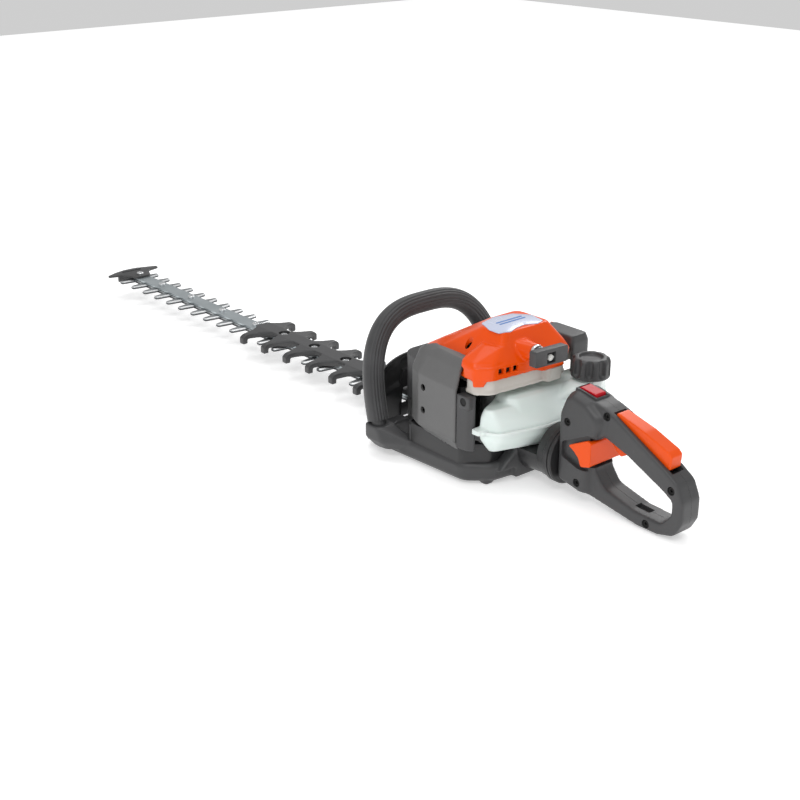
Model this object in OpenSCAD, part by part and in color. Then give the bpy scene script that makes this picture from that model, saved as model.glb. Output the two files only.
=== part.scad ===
// Petrol hedge trimmer with a double-sided cutter bar.
// +X points along the bar to its tip, +Y to the user's left, +Z up.
// The origin is on the floor, under the middle of the trimmer's outer box.

/* [Cutting unit] */
// Distance between neighbouring teeth
tooth_pitch = 36; // [34:1:38]
// Teeth along each side of each blade
teeth = 19; // [12:1:19]
// Foremost tooth's place along the trimmer
first_tooth_x = 567; // [560:1:568]
// Height of the plane where the two blades meet
blade_z = 32; // [31.5:0.1:32.5]
// Thickness of one blade
blade_t = 2.4; // [2:0.1:2.5]
// Half width of a blade's spine
spine_half = 12; // [11:0.5:13]
// Half width of a blade from tooth tip to tooth tip
tooth_reach = 35; // [32:0.5:36]
// Travel of each blade either way from rest
blade_travel = 9; // [6:0.5:9]
// Width of the guide bar
bar_w = 23; // [20:0.5:24]
// Thickness of the guide bar
bar_t = 3.2; // [3:0.1:3.4]
// Radius of a blade bolt's shank
bolt_r = 3; // [2.5:0.1:3.2]

/* [Finger guard] */
// Fingers along each side
fingers = 6; // [4:1:6]
// Distance between neighbouring fingers
finger_pitch = 53; // [50:0.5:53]
// Foremost finger's place along the trimmer
first_finger_x = 195; // [190:1:200]
// Half width from hook to hook
finger_reach = 48; // [45:0.5:50]

/* [Gear drive] */
// Gear module
gear_module = 1.5; // [1.5:0.1:1.5]
// Teeth on the drive gear
gear_teeth = 64; // [64:1:64]
// Teeth on the clutch pinion
pinion_teeth = 16; // [16:1:16]
// Place of the clutch and crankshaft axis
crank_x = -292; // [-294:1:-290]

/* [Engine] */
// Cylinder bore radius
bore_r = 17.05; // [17.05:0.01:17.1]
// Crank throw, half of the piston's stroke
crank_throw = 13; // [12:0.5:13]
// Height of the cylinder's axis
cylinder_z = 94.5; // [94:0.1:95]
// Flywheel radius
flywheel_r = 36; // [33:0.5:36]
// Thickness of the moulded covers
wall = 3; // [2:0.1:3.5]

/* [Front handle] */
// Half width of the front handle, at its centreline
loop_half = 105; // [100:0.5:106]
// Height of the front handle's centreline
loop_top = 169; // [160:1:172]
// Radius of the soft grip
grip_r = 13.5; // [12:0.5:14]
// Forward lean, as run over rise
loop_lean = 0.28; // [0.2:0.01:0.3]

/* [Rear handle] */
// Plane where the rear handle meets its pivot ring
handle_x = -416; // [-417:0.5:-416]
// Height of the rear handle's pivot axis
pivot_z = 45; // [44:0.5:46]
// Radius of the pivot ring
ring_r = 42; // [40:0.5:43]
// Half width of the handle's front body
body_half = 25; // [23:0.5:26]
// Half width of the handle's grips
grip_half = 16; // [14:0.5:17]

/* [Tank] */
// Fuel cap radius
cap_r = 23.5; // [21:0.5:23.5]
// Fuel cap height
cap_h = 25; // [22:1:26]

/* [Hidden] */

$fn = 48;
gap = 0.3;                                     // clear space between pieces that move apart
running = 0.04;                                // radial clearance of a shaft in its bore

// The layers of the cutting unit, from the nuts up
lower_z = blade_z - gap / 2 - blade_t;         // underside of the lower blade
upper_z = blade_z + gap / 2;                   // underside of the upper blade
bar_z = upper_z + blade_t + gap;               // underside of the guide bar
bar_top = bar_z + bar_t;
bolt_xs = [494, 405, 316, 226, 153, 80, 8, -64];
tip_bolt_x = 563;
guard_floor = 2;                               // finger guard's thickness under a bolt head

// The gear drive
gear_x = crank_x + gear_module * (gear_teeth + pinion_teeth) / 2;
gear_z = 41;
gear_t = 7;
eccentric_r = 14;
yoke_hole = [eccentric_r + 2 * blade_travel + 0.5, eccentric_r + blade_travel + 0.5];
yoke_rim = 6;
blade_end = gear_x + yoke_hole[0] + yoke_rim;
shaft_r = 7;
case_r = 56;

// The engine
deck_z = 120;                                  // underside of the fan housing
web_r = 22;
rod_length = 48;
pin_x = crank_x + crank_throw + rod_length;    // gudgeon pin at outer dead centre
rope_z = 165;
rope_y = 20;
rope_r = 1.8;
cap_place = [-389, -57, 122];

// A vertex list [x, y, radius] turned into an outline whose corners are arcs
function unit(v) = v / norm(v);
function corner(a, b, c, r, n) = let (
        u = unit(a - b), v = unit(c - b), half = acos(u * v) / 2,
        centre = b + unit(u + v) * r / sin(half),
        from = b + u * r / tan(half) - centre, to = b + v * r / tan(half) - centre,
        start = atan2(from[1], from[0]), turn = atan2(to[1], to[0]) - start,
        sweep = turn > 180 ? turn - 360 : turn < -180 ? turn + 360 : turn)
    [for (i = [0:n]) centre + r * [cos(start + sweep * i / n), sin(start + sweep * i / n)]];
function rounded(pts, n = 5) = let (k = len(pts)) [for (i = [0:k - 1]) let (
        p = pts[i], before = pts[(i + k - 1) % k], after = pts[(i + 1) % k],
        xy = [p[0], p[1]])
    each (p[2] == 0 ? [xy] : corner([before[0], before[1]], xy, [after[0], after[1]], p[2], n))];

// A plate of an outline between two heights
module slab(pts, low, high, n = 5) {
    translate([0, 0, low]) linear_extrude(high - low) polygon(rounded(pts, n));
}
// A side profile [x, z, radius], made as wide as it needs across Y
module across(pts, low, high, n = 5) {
    translate([0, high, 0]) rotate([90, 0, 0]) linear_extrude(high - low) polygon(rounded(pts, n));
}
module post(x, y, low, high, r) {
    translate([x, y, low]) cylinder(r = r, h = high - low);
}
module ring(x, y, low, high, inner, outer) {
    difference() {
        post(x, y, low, high, outer);
        post(x, y, low - 1, high + 1, inner);
    }
}
module along_x(low, high, y, z, r) {
    translate([low, y, z]) rotate([0, 90, 0]) cylinder(r = r, h = high - low);
}
module along_y(x, low, high, z, r) {
    translate([x, high, z]) rotate([90, 0, 0]) cylinder(r = r, h = high - low);
}
// A tube swept along points that lie in one plane with the given normal
module sweep(path, r, normal, sides = 16) {
    k = len(path);
    rings = [for (i = [0:k - 1]) let (
            ahead = unit(path[min(i + 1, k - 1)] - path[max(i - 1, 0)]), side = cross(normal, ahead))
        for (s = [0:sides - 1]) path[i] + r * (cos(360 * s / sides) * side + sin(360 * s / sides) * normal)];
    ends = [[for (s = [0:sides - 1]) s], [for (s = [sides - 1:-1:0]) (k - 1) * sides + s]];
    walls = [for (i = [0:k - 2], s = [0:sides - 1]) let (t = (s + 1) % sides)
        [i * sides + t, i * sides + s, (i + 1) * sides + s, (i + 1) * sides + t]];
    polyhedron(rings, concat(ends, walls));
}

// ---- Cutting unit ----

module bolt_holes(r, low, high) {
    for (x = bolt_xs) post(x, 0, low, high, r);
}

module guide_bar() {
    half = bar_w / 2;
    color("silver") difference() {
        slab([[583, -half, 8], [583, half, 8], [blade_end - 30, half, 4], [blade_end - 30, -half, 4]],
            bar_z, bar_top);
        bolt_holes(bolt_r + running, bar_z - 1, bar_top + 1);
        post(tip_bolt_x, 0, bar_z - 1, bar_top + 1, bolt_r + running);
    }
}

// One side's tooth: a tapered finger that leans a little to the back
function tooth(x, side) = [[x + 8, side * spine_half], [x + 4.5, side * (tooth_reach - 2)],
    [x + 2.5, side * tooth_reach], [x - 3.5, side * tooth_reach],
    [x - 6, side * (tooth_reach - 2)], [x - 9, side * spine_half]];
module blade(low) {
    difference() {
        translate([0, 0, low]) linear_extrude(blade_t) polygon(concat(
            [[first_tooth_x + 9, -spine_half + 4], [first_tooth_x + 9, spine_half - 4]],
            [for (i = [0:teeth - 1]) each tooth(first_tooth_x - i * tooth_pitch, 1)],
            [[blade_end, spine_half], [blade_end, -spine_half]],
            [for (i = [teeth - 1:-1:0]) let (t = tooth(first_tooth_x - i * tooth_pitch, -1))
                each [for (j = [5:-1:0]) t[j]]]));
        // The slots in which the bolts stand while the blade slides
        for (x = bolt_xs) {
            slot_r = bolt_r + gap;
            for (end = [-1, 1]) post(x + end * blade_travel, 0, low - 1, low + blade_t + 1, slot_r);
            translate([x - blade_travel, -slot_r, low - 1])
                cube([2 * blade_travel, 2 * slot_r, blade_t + 2]);
        }
    }
}
module upper_blade() { color("lightsteelblue") blade(upper_z); }
module lower_blade() { color("dimgray") blade(lower_z); }

// The flat ring at a blade's back end, wide enough for the eccentric's whole turn
module yoke(low) {
    out = yoke_hole + [yoke_rim, yoke_rim];
    difference() {
        slab([[gear_x + out[0], -out[1], 8], [gear_x + out[0], out[1], 8],
            [gear_x - out[0], out[1], 8], [gear_x - out[0], -out[1], 8]], low, low + blade_t);
        slab([[gear_x + yoke_hole[0], -yoke_hole[1], 6], [gear_x + yoke_hole[0], yoke_hole[1], 6],
            [gear_x - yoke_hole[0], yoke_hole[1], 6], [gear_x - yoke_hole[0], -yoke_hole[1], 6]],
            low - 1, low + blade_t + 1);
    }
}
module upper_blade_yoke() { color("lightsteelblue") yoke(upper_z); }
module lower_blade_yoke() { color("dimgray") yoke(lower_z); }

function head_z(x) = x > first_finger_x + 20 ? bar_top : bar_top + guard_floor;
module blade_bolts() {
    color("whitesmoke") {
        for (x = bolt_xs) {
            post(x, 0, lower_z - gap - 5, head_z(x), bolt_r);
            post(x, 0, head_z(x), head_z(x) + 3.6, 5.2);
        }
        post(tip_bolt_x, 0, bar_z, bar_top + 3, bolt_r);
        post(tip_bolt_x, 0, bar_top + 3, bar_top + 6.4, 5.6);
    }
}
module blade_nuts() {
    color("silver") for (x = bolt_xs) difference() {
        union() {
            post(x, 0, lower_z - gap - 0.8, lower_z - gap, 6.4);
            translate([x, 0, lower_z - gap - 4]) cylinder(r = 5.4, h = 3.2, $fn = 6);
        }
        post(x, 0, 0, blade_z, bolt_r + 0.02);
    }
}

// The blunt crescent that stops the tip from digging in
module tip_guard() {
    color("dimgray") {
        difference() {
            slab([[602, -9, 14], [602, 9, 14], [597, 27, 20], [588, 46.5, 1.5], [584, 46, 1.5], [577, 24, 12],
                [552, 13, 5], [552, -13, 5], [577, -24, 12], [583, -46, 1.5], [590, -46.5, 1.5],
                [597, -27, 20]], bar_top, bar_top + 3);
            post(tip_bolt_x, 0, bar_top - 1, bar_top + 4, bolt_r + running);
        }
        // The nose that closes the front of both blades
        slab([[601, 0, 30], [597, 25, 4], [590, 25, 1], [590, -25, 1], [597, -25, 4]],
            lower_z - 4, bar_top);
    }
}

// One finger: a beam from the spine whose end hooks down past the tooth tips
module finger(x, side) {
    sweep_back = 16;
    slab([[x + 10, side * 11, 0], [x + 4, side * (finger_reach - 9), 6], [x + 5, side * finger_reach, 2],
        [x - 6, side * finger_reach, 2], [x - 9, side * (finger_reach - 9), 4],
        [x - 10, side * 25, 12], [x - 13 - sweep_back, side * 13, 3], [x - 30, side * 11, 0]],
        bar_top - 2.2, bar_top + 5.5);
    slab([[x + 4, side * (finger_reach - 9), 1], [x + 5, side * finger_reach, 2],
        [x - 6, side * finger_reach, 2], [x - 9, side * (finger_reach - 9), 1]],
        lower_z - 3, bar_top - 2.2);
}
module finger_guard() {
    rear = gear_x + 74;
    color("dimgray") difference() {
        union() {
            slab([[first_finger_x + 22, -11.5, 6], [first_finger_x + 22, 11.5, 6],
                [rear, 14, 2], [rear, -14, 2]], bar_top, bar_top + 8);
            for (i = [0:fingers - 1], side = [-1, 1])
                finger(first_finger_x - i * finger_pitch, side);
        }
        slab([[first_finger_x + 40, -bar_w / 2 - 0.1, 0], [first_finger_x + 40, bar_w / 2 + 0.1, 0],
            [rear - 9, bar_w / 2 + 0.1, 0], [rear - 9, -bar_w / 2 - 0.1, 0]], bar_z - 1, bar_top);
        bolt_holes(bolt_r + running, bar_top - 1, bar_top + 9);
        bolt_holes(8.5, bar_top + guard_floor, bar_top + 9);
    }
}

// ---- Gear drive ----

module case_plan(grow) {
    circle_points = [for (a = [60:12:300]) [gear_x + (case_r + grow) * cos(a),
        (case_r + grow) * sin(a)]];
    polygon(concat(circle_points, [[gear_x + 72 + grow, -31 - grow], [gear_x + 72 + grow, 31 + grow]]));
}
module gearcase_lower() {
    color("gray") difference() {
        translate([0, 0, lower_z - 10]) linear_extrude(39.9 - lower_z + 10) case_plan(0);
        // The room in which the yokes slide
        slab([[gear_x + 60, -31, 4], [gear_x + 60, 31, 4], [gear_x - 49, 31, 4], [gear_x - 49, -31, 4]],
            lower_z - 1, 40);
        // The slot through which the blades and the bar leave
        translate([gear_x + 55, -spine_half - 0.5, lower_z - 1]) cube([30, 2 * spine_half + 1, 12]);
        post(gear_x, 0, lower_z - 8, 40, 13.05);
        post(gear_x, 0, lower_z - 8, 40, eccentric_r + blade_travel + 1);
    }
}
module gearcase_upper() {
    outer = gear_module * (gear_teeth + 2) / 2 + 1.5;
    color("gray") difference() {
        union() {
            translate([0, 0, 40]) linear_extrude(11) case_plan(0);
            post(crank_x, 0, 40, 51, 20);
            post(gear_x, 0, 51, 59, 17);
        }
        post(gear_x, 0, 39, 49, outer);
        post(crank_x, 0, 39, 49, 15);
        post(gear_x, 0, 48, 57.5, 13.05);
        post(crank_x, 0, 48, 52, 10.55);
    }
}
module ball_bearings() {
    color("silver") {
        ring(gear_x, 0, lower_z - 8, lower_z - 1, shaft_r + running, 13);
        ring(gear_x, 0, 50, 57, shaft_r + running, 13);
        ring(crank_x, 0, 49.2, 52, 5 + running, 10.5);
        ring(crank_x, 0, 73, 80, 6 + running, 12);
        ring(crank_x, 0, 108, 115, 6 + running, 12);
    }
}
module eccentric_shaft() {
    color("lightgray") {
        post(gear_x, 0, lower_z - 7.8, 56.8, shaft_r);
        post(gear_x - blade_travel, 0, upper_z, upper_z + blade_t, eccentric_r);
        post(gear_x + blade_travel, 0, lower_z, lower_z + blade_t, eccentric_r);
    }
}

// A spur gear with straight-flanked teeth and a little backlash
module spur_gear(count, first_angle) {
    pitch_r = gear_module * count / 2;
    tip = pitch_r + 0.9 * gear_module;
    root = pitch_r - 1.15 * gear_module;
    step = 360 / count;
    polygon([for (i = [0:count - 1]) let (a = first_angle + i * step) each [
        root * [cos(a - step * 0.36), sin(a - step * 0.36)],
        tip * [cos(a - step * 0.11), sin(a - step * 0.11)],
        tip * [cos(a + step * 0.11), sin(a + step * 0.11)],
        root * [cos(a + step * 0.36), sin(a + step * 0.36)]]]);
}
module drive_gear() {
    color("lightgray") difference() {
        translate([gear_x, 0, gear_z]) linear_extrude(gear_t) spur_gear(gear_teeth, 180);
        post(gear_x, 0, gear_z - 1, gear_z + gear_t + 1, shaft_r + 0.02);
        for (a = [30:60:330]) translate([gear_x + 29 * cos(a), 29 * sin(a), gear_z - 1])
            cylinder(r = 9, h = gear_t + 2);
    }
}
module clutch_drum() {
    color("darkgray") {
        translate([crank_x, 0, gear_z]) linear_extrude(gear_t)
            spur_gear(pinion_teeth, 180 / pinion_teeth);
        post(crank_x, 0, gear_z + gear_t, 53, 5);
        post(crank_x, 0, 53, 54.5, 28.5);
        ring(crank_x, 0, 54.5, 67, 27, 28.5);
    }
}

// ---- Engine ----

module clutch_shoes() {
    color("peru") difference() {
        post(crank_x, 0, 55.5, 64, 26.5);
        post(crank_x, 0, 55, 65, 6.02);
        for (a = [90, 210, 330]) rotate_about(crank_x, a)
            translate([8, -0.8, 55]) cube([20, 1.6, 10]);
    }
}
module rotate_about(x, angle) {
    translate([x, 0, 0]) rotate([0, 0, angle]) children();
}
module clutch_spring() {
    color("silver") translate([crank_x, 0, 65.2]) rotate_extrude() translate([18, 0])
        circle(r = 1.1, $fn = 16);
}
module clutch_housing() {
    color("gray") ring(crank_x, 0, 51, 70, 30.5, 34);
}
module crankcase() {
    color("darkgray") difference() {
        union() {
            post(crank_x, 0, 70, 118, 33);
            translate([crank_x, -22, cylinder_z - 22]) cube([37, 44, 44]);
        }
        post(crank_x, 0, 82, 107, web_r + 2);
        post(crank_x, 0, 69, 119, 7);
        post(crank_x, 0, 73, 83, 12.02);
        post(crank_x, 0, 106, 115, 12.02);
        along_x(crank_x, crank_x + 40, 0, cylinder_z, bore_r);
    }
}
module crankshaft() {
    color("silver") {
        post(crank_x, 0, 55.5, 84, 6);
        post(crank_x, 0, 84, 89, web_r);
        post(crank_x + crank_throw, 0, 89, 100, 5);
        post(crank_x, 0, 100, 105, web_r);
        post(crank_x, 0, 105, 152, 6);
    }
}
// The rod's big end is left open, so that the piston and the crank can each move
module connecting_rod() {
    color("lightgray") difference() {
        union() {
            post(pin_x, 0, 91, 98, 7);
            translate([pin_x - 16, -3, 92]) cube([12, 6, 5]);
        }
        post(pin_x, 0, 90, 99, 4.02);
    }
}
module gudgeon_pin() { color("silver") post(pin_x, 0, cylinder_z - 14, cylinder_z + 14, 4); }
module piston() {
    color("lightgray") difference() {
        along_x(pin_x - 12, pin_x + 11, 0, cylinder_z, bore_r - 0.05);
        along_x(pin_x - 13, pin_x + 7.5, 0, cylinder_z, bore_r - 3);
        post(pin_x, 0, cylinder_z - 20, cylinder_z + 20, 4.02);
    }
}
module engine_cylinder() {
    start = crank_x + 37;
    color("darkkhaki") difference() {
        union() {
            along_x(start, start + 44, 0, cylinder_z, 21);
            for (i = [0:6]) translate([start + 3 + i * 6, -27, 71]) cube([2.4, 54, 47.5]);
            along_y(start + 20, 20, 38, cylinder_z, 9);
            along_y(start + 20, -38, -20, cylinder_z, 9);
        }
        along_x(start - 1, start + 37, 0, cylinder_z, bore_r);
        along_y(start + 20, 12, 39, cylinder_z, 6);
        along_y(start + 20, -39, -12, cylinder_z, 6);
        along_x(start + 30, start + 46, 0, cylinder_z, 5.02);
    }
}
module spark_plug() {
    start = crank_x + 37;
    color("ivory") {
        along_x(start + 38, start + 44, 0, cylinder_z, 5);
        along_x(start + 44, start + 49, 0, cylinder_z, 8);
        along_x(start + 49, start + 66, 0, cylinder_z, 5.5);
    }
}
module flywheel() {
    color("silver") difference() {
        union() {
            post(crank_x, 0, 124, 127, flywheel_r);
            ring(crank_x, 0, 127, 136, 21, 25);
            for (a = [0:24:336]) rotate_about(crank_x, a)
                translate([24.5, -1, 127]) cube([flywheel_r - 25, 2, 14]);
            post(crank_x, 0, 127, 146, 13);
        }
        post(crank_x, 0, 123, 147, 6.02);
    }
}
module ignition_coil() {
    color("darkslategray") translate([crank_x - 14, -46.7, 124]) cube([28, 8, 17]);
}
module starter_pulley() {
    color("dimgray") difference() {
        union() {
            post(crank_x, 0, 158.5, 160, 24);
            post(crank_x, 0, 160, 169, 17.6);
            post(crank_x, 0, 169, 170.3, 24);
        }
        post(crank_x, 0, 158, 171, 6 + running);
    }
}
module starter_rope() { color("black") along_x(-392, crank_x + 24, rope_y, rope_z, rope_r); }
module starter_handle() {
    color("dimgray") difference() {
        translate([-397, 0, 0]) rotate([90, 0, 90]) linear_extrude(10) polygon(rounded(
            [[-7, 155, 3], [46, 158, 3], [46, 177, 3], [-7, 175, 3]]));
        along_x(-392, -386, rope_y, rope_z, rope_r + 0.02);
        along_x(-399, -392, rope_y, rope_z, 5.5);
    }
}
module rope_bushing() {
    color("dimgray") difference() {
        union() {
            along_x(-372, -350, rope_y, rope_z, 7);
            along_x(-376, -371, rope_y, rope_z, 10);
        }
        along_x(-380, -340, rope_y, rope_z, rope_r + gap);
    }
}

// The plan of the light housing, grown by a margin
function housing_plan(m) = [[-213 + m, -50 - m, 14], [-213 + m, 48 + m, 18], [-300, 64 + m, 12],
    [-325 + m, 65 + m, 2], [-325 + m, 86 + m, 6], [-341 - m, 88 + m, 8], [-355 - m, 72 + m, 14],
    [-361 - m, 0, 60], [-356 - m, -50 - m, 10]];
module fan_housing() {
    color("gainsboro") difference() {
        slab(housing_plan(0), deck_z, 150);
        slab(housing_plan(-wall), deck_z + wall, 151);
        post(crank_x, 0, deck_z - 1, 130, 15);
        // The way down for the cooling air
        translate([-252, -24, deck_z - 1]) cube([30, 48, 9]);
    }
}

// The dome, drawn in by a margin so that the same form cuts its hollow
module dome(m) {
    hull() {
        slab([[-190 - m, -48 + m, 10], [-190 - m, 42 - m, 14], [-222, 66 - m, 14], [-300, 69 - m, 8],
            [-362 + m, 66 - m, 10], [-366 + m, 10, 60], [-364 + m, -54 + m, 8]], 150 - 8 * sign(m), 152);
        slab([[-212 - m, -38 + m, 9], [-212 - m, 32 - m, 9], [-300, 62 - m, 8], [-354 + m, 58 - m, 8],
            [-361 + m, -46 + m, 8]], 150, 162 - m);
        slab([[-290 - m, -32 + m, 10], [-290 - m, 14, 10], [-308, 46 - m, 10], [-342 + m, 44 - m, 8],
            [-344 + m, -32 + m, 8]], 160, 185 - m);
    }
}
// The outward step over the light housing's left rear
module dome_skirt(m, low) {
    slab([[-208 - m, -53.5 + m, 14], [-208 - m, 51.5 - m, 16], [-300, 68 - m, 12],
        [-321.4 - m, 69 - m, 1], [-321.4 - m, 92 - m, 6], [-338 + m, 94 - m, 8], [-353 + m, 80 - m, 16],
        [-366 + m, 4, 60], [-361 + m, -55 + m, 8]], low, 153);
    hull() {
        slab([[-306, 60, 8], [-321.4 - m, 91 - m, 6], [-338 + m, 93 - m, 8], [-352 + m, 80 - m, 10],
            [-358 + m, 40, 8]], 152, 154 - m / 3);
        slab([[-312, 50, 6], [-326, 66 - m, 6], [-350 + m, 56 - m, 6], [-352 + m, 40, 6]],
            160, 172 - m);
    }
}
module engine_cover() {
    color("orangered") difference() {
        union() {
            dome(0);
            dome_skirt(0, 138);
        }
        dome(wall);
        dome_skirt(wall, 137);
        slab(housing_plan(0.4), 137, 150.4);
        // Room for the muffler cover's top edge
        translate([-321.4, 69.9, 137]) cube([150, 40, 18.4]);
        along_x(-376, -340, rope_y, rope_z, 7.05);
    }
    color("orangered") post(crank_x, 0, 157, 182, 6);
}
module label_plate() {
    color("lavender") slab([[-293, -28, 6], [-293, 12, 8], [-308, 42, 6], [-338, 40, 5],
        [-341, 8, 12], [-341, -29, 6]], 185, 186.4);
}
module cylinder_cover() {
    color("dimgray") difference() {
        slab([[-172, -50, 22], [-172, 50, 22], [-210, 58, 0], [-210, -58, 0]], 62, 119.5);
        slab([[-175, -47, 20], [-175, 47, 20], [-215, 55, 0], [-215, -55, 0]], 61, 116.5);
    }
}
module muffler() {
    color("slategray") difference() {
        union() {
            slab([[-238, 46, 8], [-238, 82, 12], [-314, 86, 12], [-314, 46, 8]], 62, 119);
            along_y(-235, 38.2, 47, cylinder_z, 12);
        }
        along_y(-235, 37, 50, cylinder_z, 6);
        slab([[-241, 49, 6], [-241, 79, 10], [-311, 83, 10], [-311, 49, 6]], 65, 116);
    }
}
function muffler_plan(m) = [[-222 - m, 70.2, 1], [-226 - m, 82 - m, 10], [-250, 93 - m, 14],
    [-290, 96.5 - m, 40], [-321, 98 - m, 0], [-321, 70.2, 0]];
module muffler_cover() {
    color("gray") difference() {
        hull() {
            slab(muffler_plan(0), 56, 134);
            slab([[-240, 70.2, 1], [-246, 76, 4], [-268, 82, 8], [-321, 87, 0], [-321, 70.2, 0]],
                148, 155);
            slab([[-234, 70.2, 1], [-238, 80, 6], [-262, 87, 12], [-321, 91, 0], [-321, 70.2, 0]],
                50.2, 57);
        }
        hull() {
            slab([for (p = muffler_plan(wall)) [p[0] < -300 ? -330 : p[0], p[1] < 71 ? 55 : p[1], 0]],
                57, 131);
            slab([[-246, 50, 3], [-246, 72, 8], [-268, 79, 8], [-330, 84, 0], [-330, 50, 0]], 44, 151);
        }
        along_y(-266, 80, 120, 112, 4);
        along_y(-266, 80, 120, 83, 4);
    }
}
module side_panel() {
    color("dimgray") difference() {
        slab([[-321.2, 84, 0], [-321.2, 96, 0], [-338, 94, 5], [-345, 88, 3], [-341, 84, 1]], 50, 118);
        slab([[-320, 80, 0], [-320, 93, 0], [-337, 91, 3], [-341, 88, 2], [-337, 80, 1]], 53, 105);
        along_y(-333, 80, 99, 111, 2.55);
        along_y(-333, 94.15, 99, 111, 4.6);
    }
}
module cover_screws() {
    color("silver") {
        along_y(-333, 84, 94, 111, 2.5);
        along_y(-333, 94.2, 96, 111, 4.5);
    }
}
module carburettor() {
    color("silver") difference() {
        union() {
            translate([-262, -74, 80]) cube([38, 34, 30]);
            along_y(-235, -41, -38.2, cylinder_z, 12);
        }
        along_y(-235, -80, -30, cylinder_z, 6);
        along_y(-250, -90, -64, 90, 4.05);
    }
}
module air_filter() {
    color("khaki") translate([-338, -91, 124]) cube([60, 25, 24]);
}
module air_filter_cover() {
    color("dimgray") difference() {
        hull() {
            slab([[-266, -62, 5], [-266, -98, 10], [-353, -96, 8], [-353, -62, 4]], 114, 152);
            slab([[-275, -64, 4], [-275, -92, 8], [-350, -92, 6], [-350, -64, 4]], 152, 162);
        }
        slab([[-269, -56, 0], [-269, -95, 8], [-350, -93, 6], [-350, -56, 0]], 110, 149);
    }
}
module choke_lever() {
    color("orangered") {
        along_y(-284, -103, -100.3, 132, 5);
        translate([-287, -103, 132]) cube([6, 2.7, 20]);
    }
}
module primer_bulb() {
    color("orangered") {
        along_y(-250, -76.5, -68, 90, 4);
        translate([-250, -76, 90]) rotate([90, 0, 0]) rotate_extrude()
            polygon([[0, 0], [9, 0], [8.5, 3.5], [6.5, 6.5], [3.5, 8], [0, 8.5]]);
    }
}

// ---- Tank ----

function tank_base(m) = [[-329 - m, -92 + m, 10], [-329 - m, 40 - m, 10], [-350, 78 - m, 5],
    [-362 + m, 70 - m, 12], [-379 + m, 10, 50], [-374 + m, -92 + m, 12]];
function tank_seam(m) = [[-329 - m, -106 + m, 8], [-329 - m, 46 - m, 10], [-349, 88 - m, 4],
    [-373 + m, 76 - m, 16], [-389 + m, 10, 60], [-386 + m, -50, 30], [-382 + m, -110 + m, 10]];
function tank_top(m) = [[-330 - m, -96 + m, 5], [-330 - m, 42 - m, 8], [-347, 74 - m, 4],
    [-355 + m, 60 - m, 8], [-352 + m, -20, 40], [-372 + m, -60 + m, 10], [-370 + m, -98 + m, 8]];
module fuel_tank() {
    color("honeydew") difference() {
        union() {
            hull() {
                slab(tank_base(0), 50, 52);
                slab(tank_seam(0), 74, 80);
                slab(tank_top(0), 100, 104);
            }
            hull() {
                slab([[-352, -100, 10], [-352, -28, 10], [-374, -24, 10], [-386, -60, 20], [-382, -104, 10]],
                    80, 100);
                post(cap_place[0] + 4, cap_place[1], 110, 117, 20);
            }
            slab(tank_seam(-1.6), 75.5, 78.5);
            post(cap_place[0], cap_place[1], 110, cap_place[2] + 9, 15);
        }
        hull() {
            slab(tank_base(2.5), 53, 54);
            slab(tank_seam(2.5), 74, 80);
            slab(tank_top(2.5), 99, 101);
        }
        post(cap_place[0], cap_place[1], 90, cap_place[2] + 10, 12);
    }
}
module fuel_cap() {
    color("dimgray") translate([cap_place[0], cap_place[1], 0]) difference() {
        union() {
            translate([0, 0, cap_place[2]]) cylinder(r = cap_r, h = cap_h - 3);
            translate([0, 0, cap_place[2] + cap_h - 3]) cylinder(r1 = cap_r, r2 = cap_r - 3, h = 3);
        }
        translate([0, 0, cap_place[2] - 1]) cylinder(r = 15.3, h = 11);
        for (a = [0:40:320]) rotate([0, 0, a]) translate([cap_r + 2, 0, cap_place[2] + 4])
            cylinder(r = 5, h = cap_h);
        translate([0, 0, cap_place[2] + cap_h - 2.5]) cylinder(r = 12, h = 4);
    }
}

// ---- Frame and handles ----

function bow_plan(m) = [[-158 - m, -98 + m, 16], [-158 - m, 98 - m, 16], [-200, 96 - m, 20],
    [-325, 90 - m, 20], [-352 + m, 62 - m, 22], [-358 + m, 0, 60], [-352 + m, -62 + m, 22],
    [-325, -90 + m, 20], [-200, -96 + m, 20]];
module frame_bow() {
    beam = 20;
    color("dimgray") difference() {
        union() {
            slab(bow_plan(0), 6, 25);
            slab(bow_plan(3), 2, 28);
            for (side = [-1, 1]) {
                slab([[-158, side * 84, 3], [-158, side * 119, 8], [-206, side * 119, 10],
                    [-212, side * 84, 3]], 8, 24.5);
                post(-337, side * 60, 0, 6, 8);
                post(-176, side * 84, 0, 6, 8);
            }
            translate([-362, -34, 6]) cube([30, 68, 40]);
        }
        // The dip that the gearcase lies in
        translate([-185, -45, lower_z - 10.3]) cube([40, 90, 20]);
        slab(bow_plan(beam), 0, 50);
        for (side = [-1, 1]) {
            post(-325, side * 62, 20, 30, 4.02);
            post(-215, side * 78, 20, 30, 4.02);
        }
    }
}
module rubber_mounts() {
    color("black") for (side = [-1, 1]) {
        post(-325, side * 70, 28, 49.9, 7);
        post(-232, side * 84, 28, 49.9, 7);
    }
}

// The guard in front of the hands: an arched wall whose plan is an arc
module hand_shield() {
    shield_r = 160;
    shield_top = 97;
    centre_x = -125 - shield_r;
    color("dimgray") difference() {
        intersection() {
            ring(centre_x, 0, 0, 120, shield_r - wall, shield_r);
            translate([-260, 0, 0]) rotate([90, 0, 90]) linear_extrude(160) polygon(concat(
                [[-99, 28.3], [99, 28.3]],
                [for (a = [0:6:180]) [99 * cos(a), 42 + (shield_top - 42) * pow(sin(a), 0.8)]]));
        }
        // The way out for the bar, the blades and the finger guard
        translate([-180, -56, 10]) cube([90, 112, bar_top + 9 - 10 + gap]);
    }
}

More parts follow.
